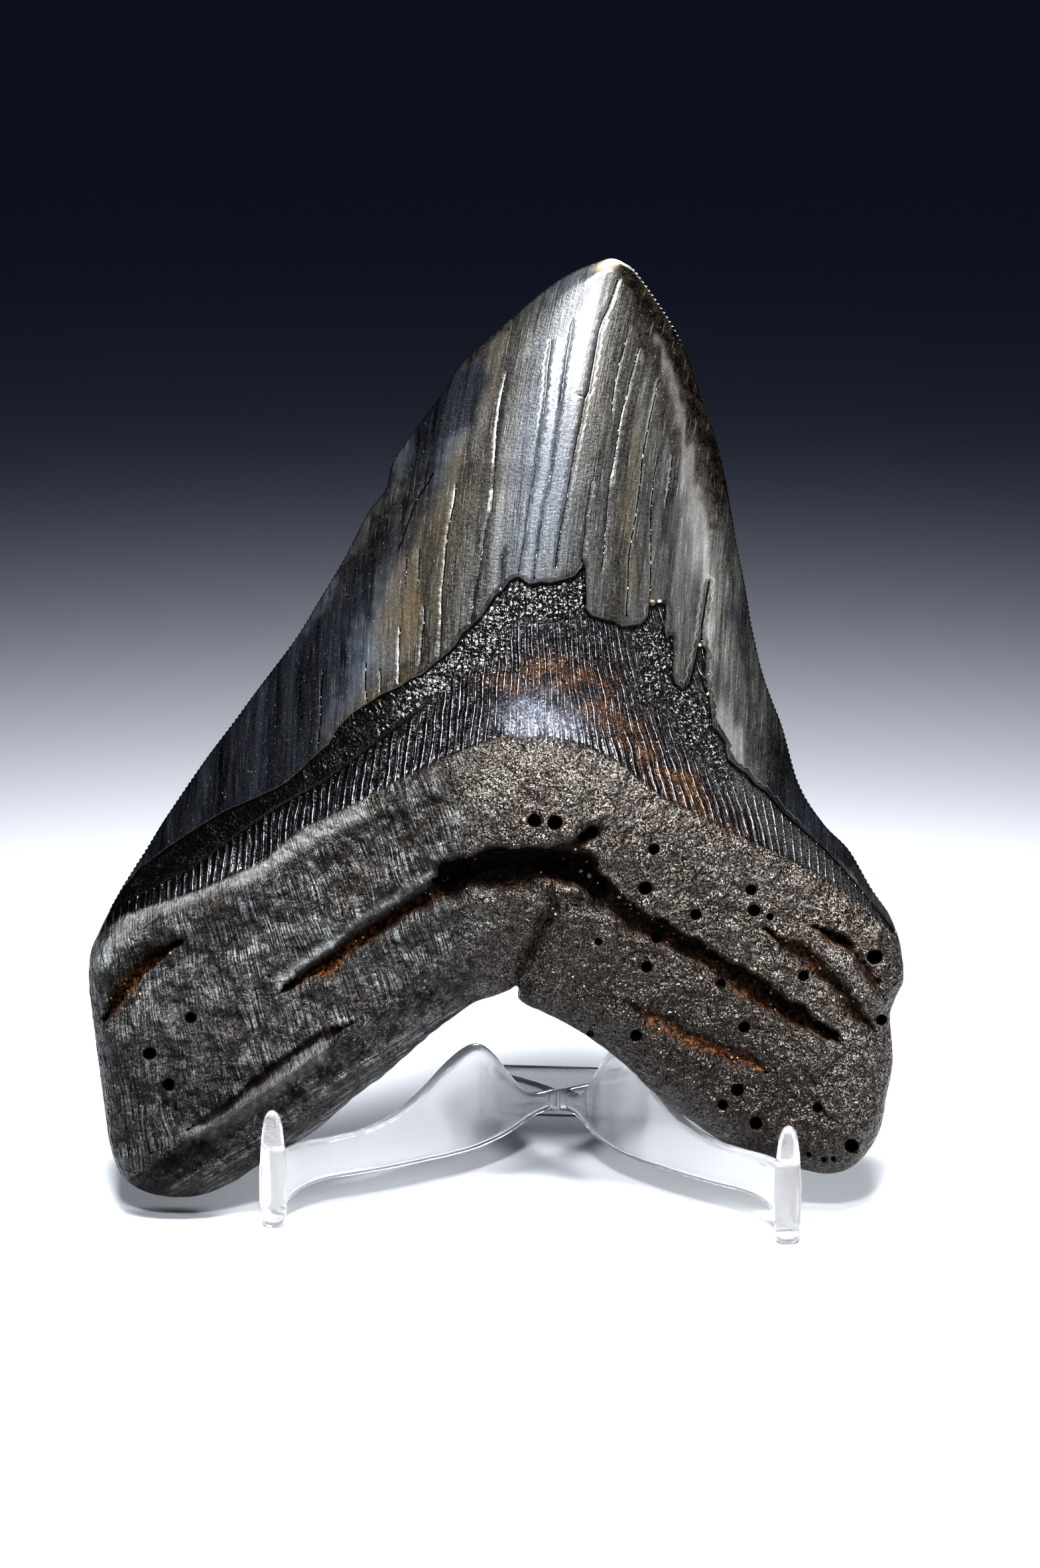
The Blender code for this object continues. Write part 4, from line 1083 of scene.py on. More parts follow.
def new_group(name, inputs, outputs):
    """A shader node group with named sockets; gives its wiring and the two ends."""
    tree = bpy.data.node_groups.new(name, "ShaderNodeTree")
    for label, value in inputs.items():
        kind = "NodeSocketVector" if value is None else "NodeSocketFloat"
        socket = tree.interface.new_socket(label, in_out="INPUT", socket_type=kind)
        if value is not None:
            socket.default_value = value
    for label in outputs:
        tree.interface.new_socket(label, in_out="OUTPUT", socket_type="NodeSocketFloat")
    start, end = tree.nodes.new("NodeGroupInput"), tree.nodes.new("NodeGroupOutput")
    return tree, Wiring(tree), start.outputs, end.inputs


def speckle_group():
    """Fine mineral speckle: a mix of small and smaller grains, and bright painted glints."""
    tree, w, start, end = new_group(
        "mineral speckle", {"Place": None, "Size": 0.4, "Contrast": 0.5},
        ["Value", "Height", "Glint"])
    small = w.math("DIVIDE", 1.0, start["Size"])
    coarse = w.noise(start["Place"], small, 3.0, 0.65)
    fine = w.noise(start["Place"], w.times(small, 2.3), 2.0, 0.6)
    both = w.plus(w.times(coarse, 0.55), w.times(fine, 0.45))
    half = w.minus(0.17, w.times(start["Contrast"], 0.12))
    w.join(w.spread(both, w.minus(0.51, half), w.plus(0.51, half)), end["Value"])
    w.join(w.noise(start["Place"], small, 0.6, 0.5), end["Height"])
    w.join(w.spread(both, 0.54, 0.60), end["Glint"])
    return tree


def streak_group():
    """Long streaks that follow a flow: across it they are narrow, along it long."""
    tree, w, start, end = new_group(
        "long streaks", {"Flow": None, "Width": 1.0, "Length": 10.0, "Seed": 0.0},
        ["Value", "Hair"])
    parts = w.node("ShaderNodeSeparateXYZ", start["Flow"]).outputs
    across = w.plus(w.math("DIVIDE", parts[0], start["Width"]), start["Seed"])
    along = w.math("DIVIDE", parts[1], start["Length"])
    place = w.node("ShaderNodeCombineXYZ", across, along, start["Seed"]).outputs[0]
    value = w.noise(place, 1.0, 3.0, 0.55)
    w.join(w.spread(value, 0.30, 0.70), end["Value"])
    w.join(w.spread(value, 0.60, 0.68), end["Hair"])
    return tree


def flute_group():
    """Thin raised flutes at an even pitch, broken and of uneven strength; the line paints
    highlights on their crests.
    """
    tree, w, start, end = new_group(
        "bourlette flutes", {"Flow": None, "Pitch": 1.2, "Width": 0.2}, ["Line", "Height"])
    parts = w.node("ShaderNodeSeparateXYZ", start["Flow"]).outputs
    count = w.math("DIVIDE", parts[0], start["Pitch"])
    away = w.times(w.math("ABSOLUTE", w.minus(w.math("FRACT", count), 0.5)), start["Pitch"])
    place = w.node("ShaderNodeCombineXYZ", w.math("FLOOR", count), w.times(parts[1], 0.22), 2.0)
    presence = w.noise(place.outputs[0], 1.7, 2.0, 0.6)
    beads = w.noise(w.scaled(start["Flow"], (1.2, 0.75, 1.0)), 2.4, 3.0, 0.65)
    width = w.times(start["Width"], w.spread(beads, 0.38, 0.60, 0.10, 1.45))
    line = w.spread(away, w.times(width, 0.4), w.plus(width, 0.001), 1.0, 0.0)
    w.join(w.times(line, w.spread(presence, 0.38, 0.58, 0.10, 1.0)), end["Line"])
    w.join(w.spread(away, 0.0, w.times(start["Width"], 2.2), 1.0, 0.0), end["Height"])
    return tree


def new_material(name):
    """A material with its wiring and its shader."""
    material = bpy.data.materials.new(name)
    material.use_nodes = True
    tree = material.node_tree
    return material, Wiring(tree), tree.nodes["Principled BSDF"]


def fossil_textures(w, flute_pitch):
    """The mesh's marks and flows, and the grains, streaks and flutes that its colours share."""
    speckle, streaks, flutes = speckle_group(), streak_group(), flute_group()
    t = SimpleNamespace(**{name: w.mark(name) for name in MARKS})
    t.place, t.flow, t.fibre, t.flute = (w.flow(n) for n in ("place", "flow", "fibre", "flute"))
    for name, size, contrast in (("grain", 0.42, 0.5), ("rough", 0.26, 0.9),
                                 ("pebbles", 0.5, 1.0), ("coarse", 0.55, 1.0),
                                 ("tiny", 0.27, 1.0)):
        setattr(t, name, w.group(speckle, Place=t.place, Size=size, Contrast=contrast))
    for name, flow, width, length, seed in (
            ("wide", t.flow, 2.6, 34.0, 3.0), ("middle", t.flow, 0.8, 14.0, 11.0),
            ("hair", t.flow, 0.22, 5.0, 23.0), ("fibres", t.fibre, 0.30, 4.0, 31.0),
            ("veins", t.fibre, 0.30, 6.0, 47.0)):
        setattr(t, name, w.group(streaks, Flow=flow, Width=width, Length=length, Seed=seed))
    t.ridge = w.group(flutes, Flow=t.flute, Pitch=flute_pitch, Width=0.10)
    t.thread = w.group(flutes, Flow=w.scaled(t.flute, (1.0, 1.7, 1.0)), Pitch=0.77, Width=0.10)
    t.blotch = w.noise(t.place, 0.45, 5.0, 0.65)
    t.beads = w.noise(t.place, 1.5, 3.0, 0.7)
    t.fibrous = w.node("ShaderNodeSeparateXYZ", t.fibre).outputs[2]
    return t


def enamel_colour(w, t, finish):
    """The crown: streaked grey, stained, scratched and cracked, with painted reflections and
    painted glints along its cracks.
    """
    grain = t.grain["Value"]
    tone = w.plus(w.times(t.wide["Value"], 0.45), w.times(t.middle["Value"], 0.35),
                  w.times(t.hair["Value"], 0.20), w.swing(grain, 0.25), clamp=True)
    colour = w.blend(tone, finish.enamel_dark, finish.enamel_light)
    # Blue-grey tint; down the crown's middle this is a painted reflection
    colour = w.stain(w.times(t.cool, 0.75), colour, tone,
                     (0.040, 0.048, 0.064), (0.135, 0.155, 0.185))
    rusty = w.times(t.warm, w.spread(t.wide["Value"], 0.2, 0.8, 0.45, 1.0))
    colour = w.stain(rusty, colour, tone, (0.030, 0.024, 0.014), finish.enamel_tan)
    # Painted reflection: silvery streaks on the crown's right and near its tip
    painted_silver_sheen = w.times(t.pale, w.spread(t.middle["Value"], 0.1, 0.9, 0.45, 1.0))
    colour = w.stain(painted_silver_sheen, colour, tone, (0.02, 0.02, 0.019), (0.15, 0.15, 0.14))
    earthy = w.spread(w.plus(t.umber, w.swing(w.noise(t.place, 0.8, 5.0, 0.7), 1.1)), 0.2, 0.8)
    mottle = w.plus(w.times(grain, 0.45),
                    w.spread(w.noise(t.place, 0.55, 4.0, 0.7), 0.38, 0.64, -0.1, 0.6))
    colour = w.stain(earthy, colour, mottle, (0.004, 0.0035, 0.003), (0.034, 0.027, 0.020))
    soot = w.spread(w.plus(t.dark, w.swing(t.blotch, 0.6), w.swing(grain, 0.15)), 0.18, 0.75)
    colour = w.stain(soot, colour, w.times(tone, 0.55),
                     finish.enamel_black, (0.056, 0.060, 0.070))
    colour = w.blend(t.tan, colour, (0.40, 0.33, 0.26))
    dust = w.spread(w.noise(t.place, 4.6, 0.0, 0.5), 0.80, 0.82)
    colour = w.blend(w.times(dust, 0.35), colour, (0.40, 0.39, 0.36))
    scratches = w.times(t.hair["Hair"], w.minus(0.22, w.times(soot, 0.17)))
    colour = w.blend(scratches, colour, (0.30, 0.30, 0.285))
    # Painted glints: pale beads along the cracks' chipped edges
    crack_glint_beads = w.times(t.crack, w.spread(w.plus(t.beads, w.times(t.chalk, 0.10)), 0.60, 0.72))
    colour = w.blend(w.spread(t.crack, 0.15, 0.5), colour, (0.002, 0.0015, 0.0015))
    return w.blend(w.spread(crack_glint_beads, 0.3, 0.7), colour, (0.42, 0.405, 0.37))


def bourlette_colour(w, t):
    """The dark band: painted highlights on its broken flutes, a rough shelf at the left and bare
    gravelly scale.
    """
    rough = t.rough["Value"]
    colour = w.blend(rough, (0.0015, 0.001, 0.0015), (0.012, 0.011, 0.012))
    rust = w.times(t.warm, w.spread(t.blotch, 0.40, 0.62, 0.15, 1.0))
    colour = w.stain(rust, colour, rough, (0.016, 0.008, 0.003), (0.105, 0.052, 0.022))
    # Blue-grey tint; on the bourlette's middle this is a painted highlight
    colour = w.blend(w.times(t.cool, 0.6), colour, (0.030, 0.035, 0.046))
    colour = w.stain(t.smooth, colour, rough, (0.010, 0.010, 0.011), (0.075, 0.074, 0.074))
    # Painted glints on the band's rough grains
    glints = w.times(t.rough["Glint"], w.minus(1.0, t.ledge))
    colour = w.blend(w.times(glints, 0.20), colour, (0.14, 0.14, 0.155))
    # A painted highlight: a pale bluish patch on the bourlette's middle
    highlight_paint = w.times(t.sheen, w.spread(t.blotch, 0.34, 0.56, 0.35, 1.0))
    colour = w.stain(highlight_paint, colour, rough, (0.05, 0.054, 0.066), (0.26, 0.27, 0.31))
    # Painted highlights: thin pale lines along the flutes' crests
    line = w.most(t.ridge["Line"], w.times(t.thread["Line"], 0.22))
    fluted = w.minus(1.0, w.most(t.smooth, w.most(t.bare, t.ledge)))
    colour = w.blend(w.times(line, fluted), colour, (0.34, 0.34, 0.355))
    shelf = w.blend(w.times(t.blotch, rough), (0.001, 0.001, 0.0012), (0.026, 0.022, 0.021))
    # Painted glints on the shelf
    shelf_glints = w.times(t.rough["Glint"], w.spread(t.blotch, 0.48, 0.60, 0.0, 0.5))
    shelf = w.blend(shelf_glints, shelf, (0.16, 0.15, 0.15))
    colour = w.blend(t.ledge, colour, shelf)
    gravel = w.blend(rough, (0.002, 0.0015, 0.0015), (0.022, 0.021, 0.022))
    # Painted glints on the pebbles
    gravel = w.blend(t.pebbles["Glint"], gravel, (0.28, 0.275, 0.27))
    return w.blend(t.bare, colour, gravel)


def root_colour(w, t, finish):
    """The root's colour and its grain: painted glints at the right, fibrous and worn at the left,
    with painted shade on its lower parts and in its grooves.
    """
    salt = w.plus(w.times(t.coarse["Value"], 0.5), w.times(t.tiny["Value"], 0.5))
    salt = w.between(w.times(t.fibrous, 0.7), salt,
                     w.times(t.fibres["Value"], w.plus(salt, 0.35)))
    colour = w.blend(salt, finish.root_dark, finish.root_light)
    colour = w.stain(w.times(t.warm, 0.7), colour, salt,
                     (0.006, 0.004, 0.002), (0.052, 0.033, 0.020))
    colour = w.stain(w.times(t.cool, 0.7), colour, salt,
                     (0.010, 0.012, 0.013), (0.150, 0.165, 0.175))
    mottled = w.spread(w.noise(w.scaled(t.place, (1.0, 1.0, 1.6)), 0.42, 5.0, 0.68), 0.44, 0.64)
    colour = w.stain(w.times(t.fibrous, w.times(mottled, 0.7)), colour, salt,
                     (0.030, 0.031, 0.031), (0.230, 0.245, 0.250))
    worn = w.spread(w.plus(t.veins["Value"], w.times(t.tiny["Value"], 0.35)), 0.60, 0.86)
    worn = w.times(t.fibrous, worn,
                   w.spread(w.noise(t.place, 0.3, 4.0, 0.6), 0.44, 0.64, 0.0, 0.8))
    colour = w.blend(worn, colour, (0.30, 0.31, 0.315))
    furrows = w.times(t.fibrous, w.spread(t.veins["Value"], 0.46, 0.30, 0.0, 0.6))
    colour = w.blend(furrows, colour, (0.008, 0.008, 0.008))
    colour = w.stain(w.times(t.pale, 0.6), colour, salt,
                     (0.010, 0.009, 0.009), (0.15, 0.142, 0.138))
    patches = w.spread(w.noise(t.place, 0.22, 4.0, 0.6), 0.42, 0.72)
    colour = w.blend(w.times(patches, 0.55), colour, (0.020, 0.013, 0.009))
    # Painted shade over the root's lower parts
    colour = w.blend(w.times(t.dim, 0.65), colour, (0.008, 0.006, 0.005))
    # Painted glints: bright specks on the root's grains, fewer where painted shade lies
    painted_sparkle = w.times(
        w.most(w.times(t.coarse["Glint"], 0.30), w.times(t.tiny["Glint"], 0.80)),
        w.minus(1.0, w.times(t.dim, 0.75)),
        w.spread(w.noise(t.place, 0.5, 3.0, 0.6), 0.35, 0.62, 0.25, 1.0),
        w.minus(1.0, w.times(t.fibrous, w.spread(t.blotch, 0.45, 0.60, 0.92, 0.35))))
    colour = w.blend(painted_sparkle, colour, finish.root_glint)
    # Silt in the grooves, mostly near black: real silt with painted shade
    silt = w.blend(w.spread(w.noise(t.place, 1.3, 4.0, 0.7), 0.40, 0.66), (0.006, 0.003, 0.002),
                   w.blend(t.warm, (0.050, 0.024, 0.012), finish.sediment))
    colour = w.blend(w.spread(w.plus(t.dirt, w.swing(t.blotch, 0.9)), 0.25, 0.8), colour, silt)
    chalky = w.blend(w.noise(t.place, 0.9, 3.0, 0.6),
                     (0.020, 0.020, 0.020), (0.400, 0.410, 0.410))
    return w.blend(w.times(t.rim, 0.8), colour, chalky), salt


def fossil_height(w, t):
    """Height of the finest relief in millimetres: wrinkled enamel, ribbed band, pitted root."""
    wrinkle = w.noise(w.scaled(t.place, (1.0, 1.0, 2.1)), 1.5, 3.0, 0.55, 0.3)
    wrinkled = w.plus(w.times(wrinkle, 0.032), w.times(t.hair["Value"], 0.012),
                      w.times(t.grain["Height"], 0.015))
    pebbles = t.pebbles["Height"]
    ribbed = w.plus(w.times(t.ridge["Height"], 0.12), w.times(t.rough["Height"], 0.05),
                    w.times(pebbles, w.between(t.bare, 0.08, 0.26)))
    ribbed = w.between(t.ledge, ribbed, w.times(pebbles, 0.16))
    pitted = w.plus(w.times(t.coarse["Height"], 0.30), w.times(t.tiny["Height"], 0.12),
                    w.times(w.noise(t.place, 0.75, 2.0, 0.55), 1.10),
                    w.times(t.fibres["Value"], t.fibrous, 0.22))
    return w.between(t.enamel, w.between(t.band, pitted, ribbed), wrinkled)


def fossil_material(finish, flute_pitch):
    """Enamel, bourlette and root in one finish, steered by the marks on the mesh."""
    material, w, shader = new_material("fossil enamel and root")
    t = fossil_textures(w, flute_pitch)
    root, salt = root_colour(w, t, finish)
    colour = w.blend(t.band, root, bourlette_colour(w, t))
    # Painted shadow under the enamel's step and the ledge
    colour = w.blend(w.times(t.under, 0.9), colour, (0.003, 0.003, 0.003))
    # Painted highlight: a tan, beaded bright rim along the enamel's broken lower edge
    lip = w.times(t.lip, w.spread(t.beads, 0.40, 0.60, 0.1, 0.8))
    crown = w.blend(lip, enamel_colour(w, t, finish), (0.26, 0.22, 0.16))
    colour = w.blend(t.enamel, colour, crown)
    # Painted shade: the bore holes and the deepest hollow go near black, with some brown silt
    hole_shade = w.spread(w.plus(t.hole, w.swing(t.beads, 0.7)), 0.35, 0.65)
    colour = w.stain(hole_shade, colour, w.spread(w.noise(t.place, 1.2, 4.0, 0.7), 0.50, 0.68),
                     (0.002, 0.0015, 0.0015), (0.040, 0.020, 0.009))
    w.join(colour, shader.inputs["Base Color"])

    gloss = w.between(t.band, w.spread(salt, 0.0, 1.0, 0.46, 0.22),
                      w.spread(t.rough["Value"], 0.0, 1.0, 0.30, 0.18))
    gloss = w.between(t.enamel, gloss, w.spread(t.grain["Value"], 0.0, 1.0, 0.20, 0.34))
    gloss = w.between(w.most(w.times(t.dirt, 0.8), t.hole), gloss, 0.85)
    w.join(gloss, shader.inputs["Roughness"])
    w.bump(shader, MM, fossil_height(w, t))
    w.join(w.times(t.enamel, 0.4), shader.inputs["Coat Weight"])
    shader.inputs["Coat Roughness"].default_value = 0.13
    shader.inputs["Specular IOR Level"].default_value = 0.32
    return material


def sand_material(finish):
    """Loose sand: tan to dark brown grains with a fine tooth."""
    material, w, shader = new_material("sand grains")
    place = w.flow("place")
    tone = w.noise(place, 1.3, 4.0, 0.6)
    colour = w.blend(w.spread(tone, 0.35, 0.65), finish.sand_dark, finish.sand_light)
    w.join(colour, shader.inputs["Base Color"])
    w.join(w.spread(tone, 0.3, 0.7, 0.25, 0.5), shader.inputs["Roughness"])
    w.bump(shader, 0.05 * MM, w.noise(place, 5.0, 3.0, 0.6))
    return material


def plastic_material(finish):
    """Clear polished plastic with faint moulding waves and a little haze."""
    material, w, shader = new_material("clear moulded plastic")
    place = w.scaled(w.node("ShaderNodeTexCoord").outputs["Object"], (1000.0, 1000.0, 1000.0))
    haze = w.noise(place, 0.35, 3.0, 0.55)
    w.join(w.blend(haze, finish.plastic, (1.0, 1.0, 1.0)), shader.inputs["Base Color"])
    w.join(w.spread(haze, 0.3, 0.7, 0.07, 0.15), shader.inputs["Roughness"])
    shader.inputs["Transmission Weight"].default_value = 0.88
    shader.inputs["IOR"].default_value = 1.49
    w.bump(shader, 0.06 * MM, w.noise(place, 0.22, 2.0, 0.5))
    return material


def floor_material(stage):
    """A pale matt floor, very slightly uneven in tone."""
    material, w, shader = new_material("pale floor")
    tone = w.noise(w.node("ShaderNodeTexCoord").outputs["Object"], 9.0, 4.0, 0.5)
    low = tuple(0.985 * value for value in stage.floor_colour)
    w.join(w.blend(tone, low, stage.floor_colour), shader.inputs["Base Color"])
    shader.inputs["Roughness"].default_value = 0.55
    return material


def link(item):
    """Adds an object to the scene."""
    bpy.context.scene.collection.objects.link(item)
    return item


def lean(mesh):
    """Places a mesh that is drawn in the tooth's plane."""
    place = Matrix.Translation([value * MM for value in TOOTH_AT])
    mesh.transform(place @ Matrix.Rotation(-TOOTH_LEAN, 4, "X"))


def make_tooth(finish, flute_pitch):
    """The tooth, in place of its solid."""
    tooth = link(bpy.data.objects.new("tooth_surface", build_tooth()))
    lean(tooth.data)
    tooth.data.materials.append(fossil_material(finish, flute_pitch))
    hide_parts("megalodon_tooth")
    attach(tooth, "root")


def make_sand(finish, count):
    """Loose grains caught in the root's grooves and in the enamel's widest crack."""
    draw = np.random.default_rng(12)
    spots = [(u, v, size) for u, v, size in SAND]
    for half, _, amount, line in GROOVES:
        if amount < 0.65 or len(line) < 4:
            continue
        curve = smooth_curve(line, 0.4)
        for _ in range(int(count * len(curve) / 300)):
            u, v = curve[draw.integers(len(curve))] + draw.normal(0.0, 0.8 * half, 2)
            spots.append((u, v, draw.uniform(0.15, 0.5)))
    spots = np.array(spots)
    ball = bmesh.new()
    bmesh.ops.create_icosphere(ball, subdivisions=2, radius=0.5)
    round_points = np.array([tuple(vert.co) for vert in ball.verts])
    round_faces = np.array([[vert.index for vert in face.verts] for face in ball.faces])
    ball.free()
    points, faces = [], []
    for size, place in zip(spots[:, 2], on_inner_face(spots[:, :2])):
        lumps = [1.0 + 0.35 * noise.noise(Vector(point) * 3.1 + Vector(place))
                 for point in round_points]
        turn = np.array(Matrix.Rotation(draw.uniform(0.0, 6.28), 3, Vector(draw.normal(size=3))))
        squash = size * draw.uniform(0.7, 1.15, 3)
        faces.append(round_faces + len(points) * len(round_points))
        points.append((round_points * np.array(lumps)[:, None] * squash) @ turn + place
                      - (0.0, 0.15 * size, 0.0))
    points = np.vstack(points)
    mesh = bpy.data.meshes.new("sand_grains")
    mesh.from_pydata((points * MM).tolist(), [], np.vstack(faces).tolist())
    mesh.shade_smooth()
    layer = mesh.attributes.new("place", "FLOAT_VECTOR", "POINT")
    layer.data.foreach_set("vector", points.ravel())
    sand = link(bpy.data.objects.new("sand_grains", mesh))
    lean(mesh)
    mesh.materials.append(sand_material(finish))
    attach(sand, "root")


def rounded_section(low, high):
    """A wall's section with rounded corners, as pairs of side and height."""
    half, radius = 0.5 * WALL, 0.6
    corners = [(-half + radius, low + radius, 180), (half - radius, low + radius, 270),
               (half - radius, high - radius, 0), (-half + radius, high - radius, 90)]
    section = []
    for s, z, start in corners:
        for step in range(4):
            turn = math.radians(start + 30 * step)
            section.append((s + radius * math.cos(turn), z + radius * math.sin(turn)))
    return section


def loft(shape, rows):
    """Faces between successive rings of points, closed at both ends."""
    made = [[shape.verts.new(tuple(value * MM for value in point)) for point in row]
            for row in rows]
    for ring, following in zip(made, made[1:]):
        for i in range(len(ring)):
            j = (i + 1) % len(ring)
            shape.faces.new((ring[i], ring[j], following[j], following[i]))
    shape.faces.new(made[0][::-1])
    shape.faces.new(made[-1])
    bmesh.ops.recalc_face_normals(shape, faces=shape.faces)


def form(name, rows=None):
    """One form of the stand: a loft through its rows, or the foot's bar if there are none."""
    shape = bmesh.new()
    if rows is None:
        middle = Matrix.Translation((0.0, FOOT_BACK * MM, 0.5 * FOOT_HEIGHT * MM))
        size = Matrix.Diagonal((FOOT_SPAN * MM, FOOT_DEPTH * MM, FOOT_HEIGHT * MM, 1.0))
        bmesh.ops.create_cube(shape, size=1.0, matrix=middle @ size)
    else:
        loft(shape, rows)
    mesh = bpy.data.meshes.new(name)
    shape.to_mesh(mesh)
    shape.free()
    return link(bpy.data.objects.new(name, mesh))


def wall_rows(stations, side):
    """Sections along a wing or a leg, on one side of the stand."""
    line = smooth_curve(stations, 1.0)
    line[:, 0] *= side
    return [
        [(x + s * a, y + s * b, z) for s, z in rounded_section(low, high)]
        for (x, y, low, high), (a, b) in zip(line, to_the_left(line[:, :2]))
    ]


def post_rows(side):
    """Rings up one of the front posts."""
    profile = smooth_curve(POST_PROFILE, 0.035)
    turns = [2.0 * math.pi * step / 32 for step in range(32)]
    return [
        [(side * 0.5 * POST_SPAN + 0.5 * POST_WIDTH * scale * math.cos(turn),
          0.5 * POST_DEPTH * scale * math.sin(turn), share * POST_HEIGHT) for turn in turns]
        for scale, share in profile
    ]


def make_stand(finish, voxel):
    """The stand as one smooth moulding: its forms are joined, remeshed and eased."""
    body = form("display_stand_surface")
    forms = []
    for side in (1.0, -1.0):
        forms.append(form("wing", wall_rows(WING, side)))
        forms.append(form("leg", wall_rows(REAR_LEG, side)))
        forms.append(form("post", post_rows(side)))
    for item in forms:
        union = body.modifiers.new("join", "BOOLEAN")
        union.operation, union.solver, union.object = "UNION", "EXACT", item
    remesh = body.modifiers.new("remesh", "REMESH")
    remesh.mode, remesh.voxel_size = "VOXEL", voxel
    ease = body.modifiers.new("ease", "SMOOTH")
    ease.factor, ease.iterations = 0.5, 6
    depsgraph = bpy.context.evaluated_depsgraph_get()
    mesh = bpy.data.meshes.new_from_object(body.evaluated_get(depsgraph))
    old = body.data
    body.modifiers.clear()
    body.data = mesh
    bpy.data.meshes.remove(old)
    for item in forms:
        bpy.data.objects.remove(item, do_unlink=True)
    mesh.shade_smooth()
    place = Matrix.Translation([value * MM for value in STAND_AT])
    mesh.transform(place @ Matrix.Rotation(STAND_TURN, 4, "Z"))
    mesh.materials.clear()
    mesh.materials.append(plastic_material(finish))
    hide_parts("display_stand")
    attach(body, "root")


def softbox(name, place, target, size, power, spread):
    """A soft rectangular lamp whose grid keeps its light within the spread."""
    data = bpy.data.lights.new(name, "AREA")
    data.shape = "RECTANGLE"
    data.size, data.size_y = size
    data.energy = power
    data.spread = math.radians(spread)
    lamp = link(bpy.data.objects.new(name, data))
    lamp.location = place
    aim = Vector(target) - Vector(place)
    lamp.rotation_euler = aim.to_track_quat("-Z", "Y").to_euler()


def make_stage(stage):
    """Pale floor, soft lights and the camera."""
    shape = bmesh.new()
    bmesh.ops.create_grid(shape, x_segments=8, y_segments=8, size=FLOOR_SIZE)
    mesh = bpy.data.meshes.new("floor")
    shape.to_mesh(mesh)
    shape.free()
    floor = link(bpy.data.objects.new("floor", mesh))
    mesh.materials.append(floor_material(stage))

    for name, power, place, target, size, spread in LAMPS:
        softbox(name, place, target, size, getattr(stage, power), spread)
    scene = bpy.context.scene
    scene.view_settings.view_transform = "Standard"
    scene.view_settings.look = "Very High Contrast"

    world = bpy.data.worlds.new("studio")
    scene.world = world
    world.use_nodes = True
    background = world.node_tree.nodes["Background"]
    background.inputs["Color"].default_value = (*stage.room_colour, 1.0)
    background.inputs["Strength"].default_value = stage.room_strength

    data = bpy.data.cameras.new("camera")
    data.lens = 100.0
    data.sensor_fit = "VERTICAL"
    data.sensor_height = 36.0
    data.clip_start = 0.01
    camera = link(bpy.data.objects.new("camera", data))
    eye = Vector((0.0, -EYE_DISTANCE, EYE_HEIGHT)) * MM
    turn = Matrix.Rotation(-TOOTH_LEAN, 4, "X")
    camera.location = Vector([value * MM for value in TOOTH_AT]) + turn @ eye
    camera.rotation_euler = (math.radians(90.0) - TOOTH_LEAN, 0.0, 0.0)
    scene.camera = camera


def colour_property(name, description, default):
    """A colour that a user may change."""
    return FloatVectorProperty(name=name, description=description, default=default,
                               subtype="COLOR", min=0.0, max=1.0)


class FossilToothSettings(bpy.types.PropertyGroup):
    """Sizes of the tooth's relief, in millimetres."""
    enamel_step: FloatProperty(
        name="Enamel step", description="Height of the enamel's lower edge in millimetres",
        default=0.8, min=0.0, max=2.0)
    crack_depth: FloatProperty(
        name="Crack depth", description="Scale of the depth of the enamel's cracks",
        default=0.35, min=0.0, max=2.0, subtype="FACTOR")
    flute_pitch: FloatProperty(
        name="Flute pitch", description="Distance between the bourlette's flutes in millimetres",
        default=1.2, min=0.5, max=3.0)
    pore_count: IntProperty(
        name="Pores", description="Number of small open pores on each face of the root",
        default=260, min=0, max=2000)
    sand_count: IntProperty(
        name="Sand grains", description="Rough number of small sand grains in the grooves",
        default=90, min=0, max=1000)


class FossilFinishSettings(bpy.types.PropertyGroup):
    """Colours of the tooth, its sand and its stand."""
    enamel_light: colour_property("Enamel light", "Lighter streaks of the enamel",
                                  (0.075, 0.074, 0.070))
    enamel_dark: colour_property("Enamel dark", "Darker streaks of the enamel",
                                 (0.006, 0.006, 0.006))
    enamel_tan: colour_property("Enamel tan", "Tan and olive staining of the enamel",
                                (0.095, 0.078, 0.052))
    enamel_black: colour_property("Enamel black", "Blackest staining of the enamel",
                                  (0.0015, 0.0015, 0.0025))
    root_light: colour_property("Root light", "Lighter grains of the root", (0.070, 0.059, 0.050))
    # The root's glints are painted: bright specks of colour on its grains
    root_glint: colour_property("Root glints", "Brightest grains of the root", (0.52, 0.475, 0.43))
    root_dark: colour_property("Root dark", "Darker grains of the root", (0.004, 0.003, 0.0026))
    sediment: colour_property("Sediment", "Silt in the root's grooves", (0.200, 0.085, 0.026))
    sand_light: colour_property("Sand light", "Lighter sand grains", (0.50, 0.42, 0.30))
    sand_dark: colour_property("Sand dark", "Darker sand grains", (0.06, 0.035, 0.018))
    plastic: colour_property("Plastic", "Tint of the clear plastic", (0.985, 0.990, 0.992))
    voxel: FloatProperty(name="Moulding detail", description="Mesh size of the stand's moulding",
                         default=0.32 * MM, min=0.1 * MM, max=2.0 * MM, unit="LENGTH",
                         precision=5)


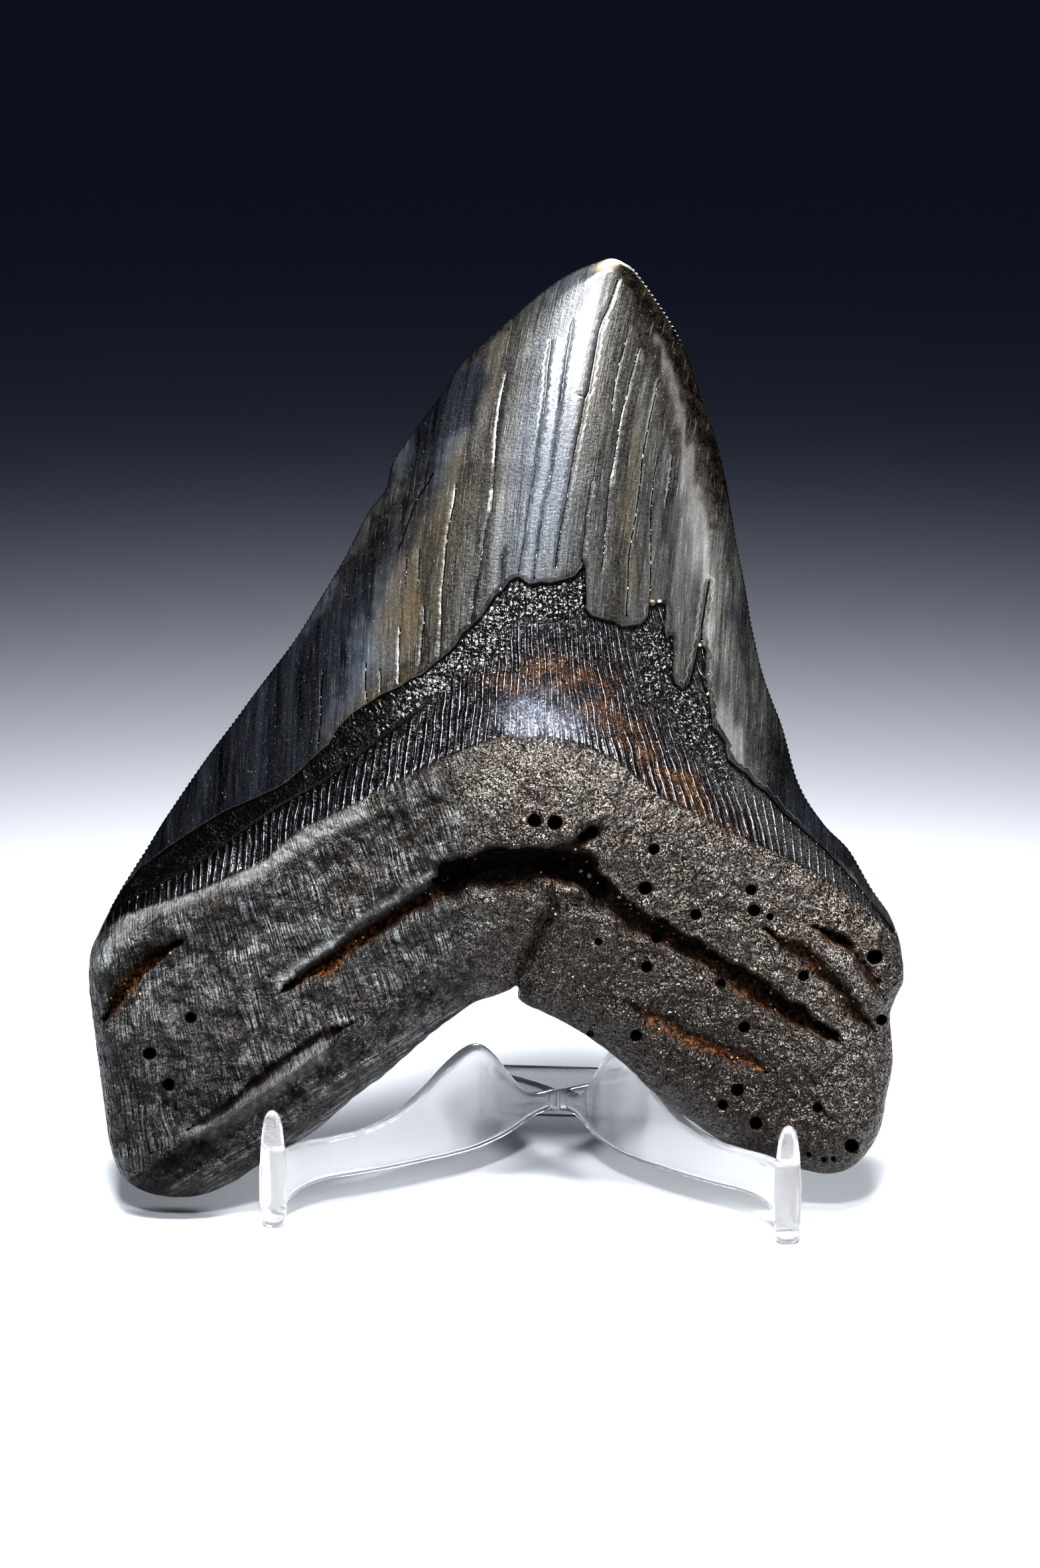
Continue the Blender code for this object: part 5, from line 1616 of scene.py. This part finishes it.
class FossilStageSettings(bpy.types.PropertyGroup):
    """Floor and lights."""
    floor_colour: colour_property("Floor", "Colour of the floor", (0.76, 0.78, 0.82))
    room_colour: colour_property("Room", "Colour of the light from all round", (0.35, 0.45, 0.75))
    room_strength: FloatProperty(name="Room light", default=0.05, min=0.0,
                                 description="Strength of the light from all round")
    key_power: FloatProperty(name="Key light", description="Power of the softbox in front",
                             default=0.45, min=0.0, unit="POWER")
    top_power: FloatProperty(name="Top light", description="Power of the softbox overhead",
                             default=1.10, min=0.0, unit="POWER")
    side_power: FloatProperty(name="Side light", description="Power of the strip at the right",
                              default=0.25, min=0.0, unit="POWER")
    back_power: FloatProperty(name="Back light", description="Power of the softbox behind",
                              default=0.15, min=0.0, unit="POWER")


class FOSSIL_OT_tooth(bpy.types.Operator):
    """Build the tooth's surface with its cracks, flutes, grooves and bore holes"""
    bl_idname = "fossil.tooth"
    bl_label = "Tooth"

    def execute(self, context):
        make_tooth(context.scene.fossil_finish, context.scene.fossil_tooth.flute_pitch)
        return {"FINISHED"}


class FOSSIL_OT_sand(bpy.types.Operator):
    """Scatter sand grains in the root's grooves"""
    bl_idname = "fossil.sand"
    bl_label = "Sand grains"

    def execute(self, context):
        make_sand(context.scene.fossil_finish, context.scene.fossil_tooth.sand_count)
        return {"FINISHED"}


class FOSSIL_OT_stand(bpy.types.Operator):
    """Build the clear moulded stand"""
    bl_idname = "fossil.stand"
    bl_label = "Display stand"

    def execute(self, context):
        make_stand(context.scene.fossil_finish, context.scene.fossil_finish.voxel)
        return {"FINISHED"}


class FOSSIL_OT_stage(bpy.types.Operator):
    """Set up the floor, the lights and the camera"""
    bl_idname = "fossil.stage"
    bl_label = "Stage"

    def execute(self, context):
        make_stage(context.scene.fossil_stage)
        return {"FINISHED"}


class FOSSIL_PT_panel(bpy.types.Panel):
    """Lists the pieces and their settings"""
    bl_idname = "FOSSIL_PT_panel"
    bl_label = "Fossil tooth on stand"
    bl_space_type = "VIEW_3D"
    bl_region_type = "UI"
    bl_category = "Fossil"

    def draw(self, context):
        column = self.layout.column()
        for operator in OPERATORS:
            column.operator(operator.bl_idname)
        for name in SETTINGS:
            group = getattr(context.scene, name)
            for field in group.bl_rna.properties:
                if field.identifier not in {"rna_type", "name"}:
                    column.prop(group, field.identifier)


OPERATORS = (FOSSIL_OT_tooth, FOSSIL_OT_sand, FOSSIL_OT_stand, FOSSIL_OT_stage)
SETTINGS = {
    "fossil_tooth": FossilToothSettings,
    "fossil_finish": FossilFinishSettings,
    "fossil_stage": FossilStageSettings,
}


def register():
    """Adds the settings, the operators and the panel."""
    for group in SETTINGS.values():
        bpy.utils.register_class(group)
    for operator in OPERATORS:
        bpy.utils.register_class(operator)
    bpy.utils.register_class(FOSSIL_PT_panel)
    for name, group in SETTINGS.items():
        setattr(bpy.types.Scene, name, PointerProperty(type=group))


def unregister():
    """Takes them away again."""
    for name in SETTINGS:
        delattr(bpy.types.Scene, name)
    bpy.utils.unregister_class(FOSSIL_PT_panel)
    for operator in OPERATORS:
        bpy.utils.unregister_class(operator)
    for group in SETTINGS.values():
        bpy.utils.unregister_class(group)


def main():
    """Builds the scene."""
    register()
    bpy.ops.fossil.tooth()
    bpy.ops.fossil.sand()
    bpy.ops.fossil.stand()
    bpy.ops.fossil.stage()
    bpy.context.view_layer.update()


if __name__ == "__main__":
    main()
